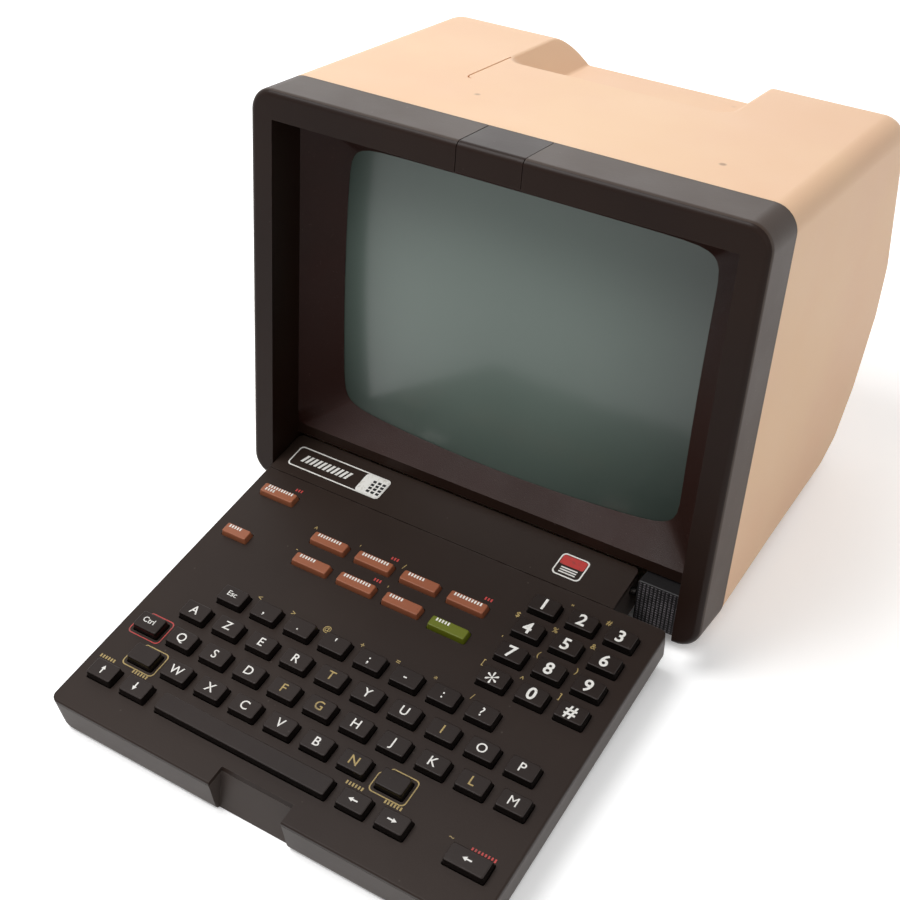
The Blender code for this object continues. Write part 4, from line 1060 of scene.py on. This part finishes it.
stroke_rows = {
    "function_key_left": ((-0.0079, 0.0016, 10), (-0.0084, -0.0006, 4)),
    "function_key_narrow": ((-0.0060, 0.0014, 5),), "send_key": ((-0.0080, 0.0014, 5),),
    "function_key_upper_1": ((-0.0081, 0.0014, 9),), "function_key_upper_2": ((-0.0081, 0.0014, 10),),
    "function_key_upper_3": ((-0.0078, 0.0014, 6),), "function_key_upper_4": ((-0.0084, 0.0014, 10),),
    "function_key_lower_1": ((-0.0081, 0.0014, 6),), "function_key_lower_2": ((-0.0084, 0.0014, 10),),
    "function_key_lower_3": ((-0.0084, 0.0014, 5),),
}


def letters(text, size, x, y, top, gain=letter_gain):
    """Letters as a thin mesh, with the middle of a capital at a point of the panel."""
    curve = bpy.data.curves.new("letters", "FONT")
    curve.body = text
    curve.size = size
    curve.align_x = "CENTER"
    curve.extrude = print_relief / 2
    curve.offset = size * gain
    curve.resolution_u = 4
    holder = bpy.data.objects.new("letters", curve)
    bpy.context.scene.collection.objects.link(holder)
    shown = holder.evaluated_get(bpy.context.evaluated_depsgraph_get())
    mesh = bpy.data.meshes.new_from_object(shown)
    bpy.data.objects.remove(holder)
    bpy.data.curves.remove(curve)
    mesh.transform(Matrix.Translation((x, y - size * capital_share / 2, top + print_gap + print_relief / 2)))
    return mesh


def as_mesh(solid):
    mesh = bpy.data.meshes.new("part of a piece")
    solid.to_mesh(mesh)
    solid.free()
    return mesh


def strokes(x, y, count, top):
    """A row of small strokes that stands for a printed word."""
    bar = box((x, y - stroke_height / 2, top + print_gap),
              (x + stroke_width, y + stroke_height / 2, top + print_gap + print_relief))
    return repeated(bar, count, 1, (stroke_step, 0, 0), (0, 0, 0), white_paint)


def arrow(turn, x, y, top):
    half = arrow_line / 2
    tip = arrow_length / 2
    shape = [(-tip, -half), (tip - arrow_head, -half), (tip - arrow_head, -arrow_head * 0.55), (tip, 0),
             (tip - arrow_head, arrow_head * 0.55), (tip - arrow_head, half), (-tip, half)]
    spun = [(x + a * cos(turn) - b * sin(turn), y + a * sin(turn) + b * cos(turn)) for a, b in shape]
    return as_mesh(plate(spun, top + print_gap, top + print_gap + print_relief))


def piece_of(parts):
    """One mesh from parts, each given with the number of its finish."""
    whole = bmesh.new()
    for mesh, number in parts:
        start = len(whole.faces)
        whole.from_mesh(mesh)
        whole.faces.ensure_lookup_table()
        for face in whole.faces[start:]:
            face.material_index = number
        bpy.data.meshes.remove(mesh)
    return whole


def key_legends(node, places, top):
    parts = []
    for i, (x, y) in enumerate(places):
        text = legends.get(node, [""] * len(places))[i]
        number = 2 if text in faded_letters else 1
        if text in ("Esc", "Ctrl"):
            parts.append((letters(text, small_size, x + 2 * legend_shift[0], y + 2 * legend_shift[1],
                                  top), 1))
        elif text:
            digit = node.startswith("keypad")
            size, gain = (digit_size, digit_gain) if digit else (letter_size, letter_gain)
            gain = 0 if text in unspread_letters else gain
            up = legend_shift[1] - (star_drop if text == "*" else 0)
            size = star_size if text == "*" else size
            parts.append((letters(text, size, x + legend_shift[0], y + up, top, gain), number))
        if node in arrow_turns:
            parts.append((arrow(arrow_turns[node][i], x + legend_shift[0], y, top), 1))
        for left, up, count in stroke_rows.get(node, ()):
            parts.append((strokes(x + left + stroke_shift, y + up, count, top), 1))
    return parts


def key_piece(node):
    x, y, step, width, length, height, count = key_row(node)
    finish, record_slot = finish_of(node)
    caps = repeated(key_cap(width, length, height), count, 1, (step, 0, 0), (0, 0, 0), finish)
    caps.transform(Matrix.Translation((x, y, 0)))
    places = [(x + step * i, y) for i in range(count)]
    whole = piece_of([(caps, 0)] + key_legends(node, places, height))
    # Side faces of the brown caps take the darker copy, which is painted shade.
    side = shaded_cap_side if finish == cap_brown else finish
    whole.normal_update()
    for face in whole.faces:
        if face.material_index == 0 and abs(face.normal.z) < 0.4:
            face.material_index = 3
    finished(node + "_caps", whole, to_panel, (finish, white_paint, yellow_paint, side), node,
             [node])


for node in key_nodes:
    key_piece(node)

# %% [markdown]
# The panel is printed too: small signs between the keys, rings round three keys, and two generic badges
# that have only lines and plain fields. All prints ride on the keyboard.

# %% Prints on the panel
sign_size = 0.0040
sign_left = 0.0024
sign_behind = 0.0024
ring_margin = 0.0020
ring_corner = 0.0022
ring_line = 0.0005
ring_chamfer = 0.0046
signs = {"punctuation_keys": (None, "<", ">", "@", "+", "=", "*", "/"),
         "keypad_two": ('"',), "keypad_three": ("#",),
         "keypad_four": ("$",), "keypad_five": ("%",), "keypad_six": ("&",), "keypad_seven": ("'",),
         "keypad_eight": ("(",), "keypad_nine": (")",), "keypad_star": ("[",), "keypad_zero": ("^",),
         "keypad_hash": ("]",), "function_key_upper_1": ("^",), "function_key_upper_2": ("'",),
         "function_key_upper_3": ("/",), "function_key_lower_1": ("-",), "function_key_lower_3": ("'",),
         "return_key": ("~",)}
red_marked = ("function_key_upper_2", "function_key_upper_4", "function_key_lower_2", "function_key_left")
word_left = 0.0094
word_behind = 0.0075
word_strokes = 6
ringed = (("middle_letter_keys", 0, 2), ("bottom_letter_keys", 0, 1), ("bottom_letter_keys", 7, 1))


def flat_ring(outline, line, low, high, radii):
    """A flat closed band between an outline and its inset."""
    outer = filleted(outline, radii, 5)
    inner = filleted(inset(outline, line), [radius - line / 2 for radius in radii], 5)
    solid = bmesh.new()
    rings = [[solid.verts.new((x, y, z)) for x, y in loop]
             for loop, z in ((outer, low), (outer, high), (inner, high), (inner, low))]
    for ring, following in zip(rings, rings[1:] + rings[:1]):
        for i in range(len(ring)):
            j = (i + 1) % len(ring)
            solid.faces.new((ring[i], ring[j], following[j], following[i]))
    bmesh.ops.recalc_face_normals(solid, faces=solid.faces)
    return as_mesh(solid)


def key_ring(x, y, width, length):
    left, right = x - width / 2 - ring_margin, x + width / 2 + ring_margin
    low, high = y - length / 2 - ring_margin, y + length / 2 + ring_margin
    outline = [(left, low), (right, low), (right, high), (left + ring_chamfer, high),
               (left, high - ring_chamfer)]
    radii = [ring_corner, ring_corner, ring_corner, ring_corner / 3, ring_corner / 3]
    return flat_ring(outline, ring_line, print_gap, print_gap + print_relief, radii)


def panel_signs():
    parts = []
    for node, texts in signs.items():
        x, y, step, width, length, height, count = key_row(node)
        for i, text in enumerate(texts):
            if text:
                left = x + step * i - width / 2 - sign_left
                parts.append((letters(text, sign_size, left, y + length / 2 + sign_behind, 0), 1))
    for node in ("upright_arrow_keys", "level_arrow_keys"):
        x, y, step, width, length, height, count = key_row(node)
        for i in range(count):
            parts.append((strokes(x + step * i - word_left, y + word_behind, word_strokes, 0), 1))
    x, y, step, width, length, height, count = key_row("return_key")
    parts.append((strokes(x - width * 0.13, y + word_behind * 0.85, word_strokes + 2, 0), 2))
    for node, number, colour in ringed:
        x, y, step, width, length, height, count = key_row(node)
        parts.append((key_ring(x + step * number, y, width, length), colour))
    for node in red_marked:
        x, y, step, width, length, height, count = key_row(node)
        parts.append((strokes(x + width * 0.24, y + length * 1.12, 3, 0), 2))
    return parts


finished("panel_signs", piece_of(panel_signs()), to_panel, (white_paint, yellow_paint, red_paint), "keyboard")

# %% [markdown]
# The two badges on the panel are generic: a frame with slanted bars and a dotted square, and a small
# frame with a red field over three stripes.

# %% Badges
badge_line = 0.0007
badge_corner = 0.0022
badge_low = (-0.1034, -0.0222)
badge_high = (-0.0484, -0.0085)
badge_square = 0.0142
badge_field_gap = 0.0009
small_badge_low = (0.0477, -0.0223)
small_badge_high = (0.0621, -0.0090)


def field(low, high, corner):
    outline = rounded(low, high, corner, 4)
    return as_mesh(plate(outline, print_gap, print_gap + print_relief))


def rectangle_ring(low, high, line, corner):
    outline = [low, (high[0], low[1]), high, (low[0], high[1])]
    return flat_ring(outline, line, print_gap, print_gap + print_relief, [corner] * 4)


def slanted(x, y, width, height, lean):
    outline = [(x, y), (x + width, y), (x + width + lean, y + height), (x + lean, y + height)]
    return plate(outline, print_gap, print_gap + print_relief)


def badges():
    left, low = badge_low
    right, high = badge_high
    tall = high - low
    square = right - badge_square
    bar = slanted(left + tall * 0.4, low + tall * 0.32, tall * 0.11, tall * 0.36, tall * 0.12)
    bars = repeated(bar, 11, 1, (tall * 0.19, 0, 0), (0, 0, 0), white_paint)
    spots = box((square + tall * 0.42, low + tall * 0.16, print_gap),
                (square + tall * 0.55, low + tall * 0.27, print_gap + 2 * print_relief))
    parts = [(rectangle_ring(badge_low, badge_high, badge_line, badge_corner), 0), (bars, 0),
             (field((square, low + badge_line / 2), (right - badge_line / 2, high - badge_line / 2),
                    badge_corner), 0),
             (repeated(spots, 3, 4, (tall * 0.2, 0, 0), (0, tall * 0.16, 0), black_plastic), 2)]
    left, low = small_badge_low
    right, high = small_badge_high
    middle = (low + high) / 2
    gap = badge_line + badge_field_gap / 3
    stripe = box((left + 3 * gap, low + 2 * gap, print_gap),
                 (right - 3 * gap, low + 2 * gap + badge_line, print_gap + print_relief))
    parts += [(rectangle_ring(small_badge_low, small_badge_high, badge_line, badge_corner), 0),
              (field((left + gap, middle), (right - gap, high - gap), badge_corner / 2), 1),
              (repeated(stripe, 1, 3, (0, 0, 0), (0, 2 * badge_line, 0), white_paint), 0)]
    return parts


finished("badges", piece_of(badges()), to_panel, (white_paint, red_paint, black_plastic), "keyboard")

# %% [markdown]
# The small controls: the power button with its field of little studs for a sure grip, the latch that
# holds the folded keyboard, the ridged brightness knob, and the socket and glands at the back.

# %% Power button
stud_columns = 12
stud_rows = 17
stud_share = 0.58
stud_height = 0.00028
button_edge = 0.0006
button_depth = 0.0113
button_stem_x = 0.0930
button_stem_z = 0.002
button_stem_half = 0.0035
button_stem_start = 0.01
stud_top_share = 0.72


def power_button():
    low, high = span("power_button", to_body)
    stem_low = Vector((button_stem_x - button_stem_half, low.y + button_stem_start,
                       button_stem_z - button_stem_half))
    stem_high = Vector((button_stem_x + button_stem_half, high.y, button_stem_z + button_stem_half))
    edge = reversed([(0, 0)] + edge_round(button_edge, button_edge, 4))
    stations = [(inwards, low.y + button_edge - z) for inwards, z in edge] + [(0, low.y + button_depth)]
    loops = []
    for margin, y in stations:
        outline = rounded((low.x + margin, low.z + margin), (high.x - margin, high.z - margin),
                          2 * button_edge)
        loops.append([(x, y, z) for x, z in outline])
    return loft(loops), box(stem_low, stem_high), low, high


def stud(x, z, front, half_x, half_z):
    loops = []
    for share, y in ((1, front + seam), (1, front - seam / 3), (stud_top_share, front - stud_height)):
        outline = rounded((x - half_x * share, z - half_z * share), (x + half_x * share, z + half_z * share),
                          half_x * share / 4, 2)
        loops.append([(a, y, b) for a, b in outline])
    return loft(loops)


def studded_button():
    face, stem, low, high = power_button()
    step_x = (high.x - low.x - 2 * button_edge) / stud_columns
    step_z = (high.z - low.z - 2 * button_edge) / stud_rows
    first = stud(low.x + button_edge + step_x / 2, low.z + button_edge + step_z / 2, low.y,
                 step_x * stud_share / 2, step_z * stud_share / 2)
    studs = repeated(first, stud_columns, stud_rows, (step_x, 0, 0), (0, 0, step_z), bezel_brown)
    return piece_of([(as_mesh(joined(face, stem)), 0), (studs, 1)])


finished("studded_power_button", studded_button(), to_body, (black_plastic, stud_grey), "power_button",
         ["power_button"])

# %% [markdown]
# The latch is a stepped bar with the same round front edge as the bezel, so the two read as one line.

# %% Latch button
latch_back_gap = 0.0007
latch_step = 0.0038
latch_edge = 0.0002


def latch():
    low, high = span("latch_button", to_body)
    step_back = pocket_depth - latch_back_gap
    profile = [(0, low.z), (step_back, low.z), (step_back, low.z + latch_step),
               (band_depth, low.z + latch_step), (band_depth, high.z)]
    profile += [(bezel_front_round * depth, high.z - bezel_front_round * drop) for depth, drop in quarter(8)]
    solid = prism(profile, low.x, high.x)
    return round_edges(solid, lambda point: min(abs(point.x - low.x), abs(point.x - high.x)) < seam,
                       latch_edge, 2)


finished("latch_cap", latch(), to_body, bezel_brown, "latch_button", ["latch_button"])

# %% [markdown]
# The knob has fine ridges for the fingers and a mark that shows how far it is turned. The socket is a
# round cup with five pins on a half circle.

# %% Knob and socket
knob_ridges = 36
ridge_depth = 0.0004
knob_cap = 0.0054
knob_edge = 0.0008
knob_mark_half = 0.0005
rear_lip = 0.0015
socket_bore = 0.009
socket_pins = 5
pin_size = 0.0007
pin_circle_share = 0.62
pin_top_share = 0.3
pin_tip_share = 0.25


def knob():
    centre, low, high = rear_middle("brightness_knob")
    radius = (high.x - low.x) / 2
    face = high.y
    back = face - knob_cap
    loops = []
    for shrink, y in ((0, back), (0, face - knob_edge), (knob_edge, face)):
        ring = []
        for i in range(knob_ridges * 4):
            turn = 2 * pi * i / (knob_ridges * 4)
            reach = radius - shrink - ridge_depth * (0.5 - 0.5 * cos(knob_ridges * turn))
            ring.append((centre[0] + reach * cos(turn), y, centre[1] + reach * sin(turn)))
        loops.append(ring)
    mark = box((centre[0] - knob_mark_half, face - seam, centre[1] + radius / 3),
               (centre[0] + knob_mark_half, face + overrun, centre[1] + 2 * radius))
    shaft_radius = port_radii["brightness_knob"]
    shaft = turned(((shaft_radius, low.y), (shaft_radius, back + seam)), centre, 32)
    return piece_of([(as_mesh(joined(cut(loft(loops), mark), shaft)), 0)])


def socket():
    centre, low, high = rear_middle("peripheral_socket")
    lip = (high.x - low.x) / 2
    radius = lip - rear_lip
    bore = radius - rear_lip
    floor = high.y - rear_lip - seam - socket_bore
    body = turned(((radius, low.y), (radius, high.y - rear_lip), (lip, high.y - rear_lip),
                   (lip, high.y - seam), (lip - seam, high.y), (bore + seam, high.y),
                   (bore, high.y - seam), (bore, floor)), centre, 64)
    parts = [(as_mesh(body), 0)]
    for i in range(socket_pins):
        turn = pi * (1 + i / (socket_pins - 1))
        reach = bore * pin_circle_share
        place = (centre[0] + reach * cos(turn), centre[1] + reach * sin(turn))
        pin = turned(((pin_size, floor - seam), (pin_size, high.y - socket_bore * pin_top_share),
                      (pin_size / 2, high.y - socket_bore * pin_tip_share)), place, 16)
        parts.append((as_mesh(pin), 1))
    return piece_of(parts)


finished("ridged_knob", knob(), to_body, black_plastic, "brightness_knob",
         ["brightness_knob"])
finished("round_socket", socket(), to_body, (black_plastic, steel), "terminal",
         ["peripheral_socket"])

# %% [markdown]
# The floor is one pale sheet, and the lamps are wide so that their light is soft. The white background
# shows to the camera, in reflections and through glass, while the floor keeps the lamps' shadow. Close to
# the object the floor's glow fades, which paints a contact shadow there.

# %% Studio
room_light = 0.27
backdrop_light = 1.0
floor_glow = 0.4
contact_reach = 0.08
floor_half = 4.0
lamp_target = Vector((0, 0.02, 0.1))
lamps = {
    "top light": ((-0.55, -0.25, 1.5), 0.9, 18),
    "back light": ((-0.75, 1.35, 0.75), 1.3, 6.8),
    "front fill": ((0.9, -1.3, 0.8), 1.2, 2),
    "right light": ((1.6, 0.45, 0.55), 1.0, 4.4),
}


def background_rays(tree):
    """1 for the rays that see the background: straight from the camera, in a reflection or through glass."""
    rays = add(tree, "ShaderNodeLightPath").outputs
    shiny = add(tree, "ShaderNodeMath", {0: rays["Is Glossy Ray"], 1: rays["Is Transmission Ray"]},
                operation="MAXIMUM").outputs[0]
    return add(tree, "ShaderNodeMath", {0: rays["Is Camera Ray"], 1: shiny}, operation="MAXIMUM").outputs[0]


def studio():
    finish, tree, shader = empty_material("pale floor")
    shader["Base Color"].default_value = (0.95, 0.95, 0.95, 1)
    shader["Roughness"].default_value = 0.9
    shader["Emission Color"].default_value = (1, 1, 1, 1)
    # The glow fades where the Ambient Occlusion node finds the object close by: a painted contact shadow on the
    # floor.
    openness = add(tree, "ShaderNodeAmbientOcclusion", {"Distance": contact_reach}, samples=8).outputs["AO"]
    glow = product(tree, ramp(tree, openness, 0.15, 0.45), floor_glow)
    tree.links.new(product(tree, background_rays(tree), glow), shader["Emission Strength"])
    floor_mesh = bpy.data.meshes.new("floor")
    side = floor_half
    corners = [(-side, -side, 0), (side, -side, 0), (side, side, 0), (-side, side, 0)]
    floor_mesh.from_pydata(corners, [], [(0, 1, 2, 3)])
    floor_mesh.materials.append(finish)
    floor = bpy.data.objects.new("floor", floor_mesh)
    bpy.context.scene.collection.objects.link(floor)
    world = bpy.data.worlds.new("studio")
    bpy.context.scene.world = world
    world.use_nodes = True
    tree = world.node_tree
    strength = add(tree, "ShaderNodeMapRange",
                   {0: background_rays(tree), 3: room_light, 4: backdrop_light}).outputs[0]
    sky = tree.nodes["Background"].inputs
    sky["Color"].default_value = (1, 1, 1, 1)
    tree.links.new(strength, sky["Strength"])
    for name, (place, size, power) in lamps.items():
        lamp = bpy.data.lights.new(name, "AREA")
        lamp.size = size
        lamp.energy = power
        item = bpy.data.objects.new(name, lamp)
        item.matrix_world = (Matrix.Translation(place)
                             @ (lamp_target - Vector(place)).to_track_quat("-Z", "Y").to_matrix().to_4x4())
        bpy.context.scene.collection.objects.link(item)


studio()
print("lamps", list(lamps))

# %% [markdown]
# The parts inside and below need no more shape than the frame gives them, so they only get a finish.

# %% Carried-over solids
carried = {
    "base_cover": peach, "tube_band": steel, "deflection_yoke": copper,
    "neck_board": board_green, "main_board": board_green,
    "mains_transformer": steel, "flyback_transformer": black_plastic, "filter_capacitor": black_plastic,
    "heat_sink": aluminium, "buzzer": black_plastic, "power_switch": black_plastic,
    "line_cord_gland": rubber, "mains_cord_gland": rubber,
    "foot_front_left": rubber, "foot_front_right": rubber,
    "foot_rear_left": rubber, "foot_rear_right": rubber,
    "hinge_pin_left": dark_steel, "hinge_pin_right": dark_steel,
    "key_mat": rubber, "key_circuit_board": board_green,
    "keyboard_bottom_shell": case_brown,
}
for name, finish in carried.items():
    node = frame["nodes"][name]
    node.data.materials.clear()
    node.data.materials.append(finish)
print("carried over", len(carried))
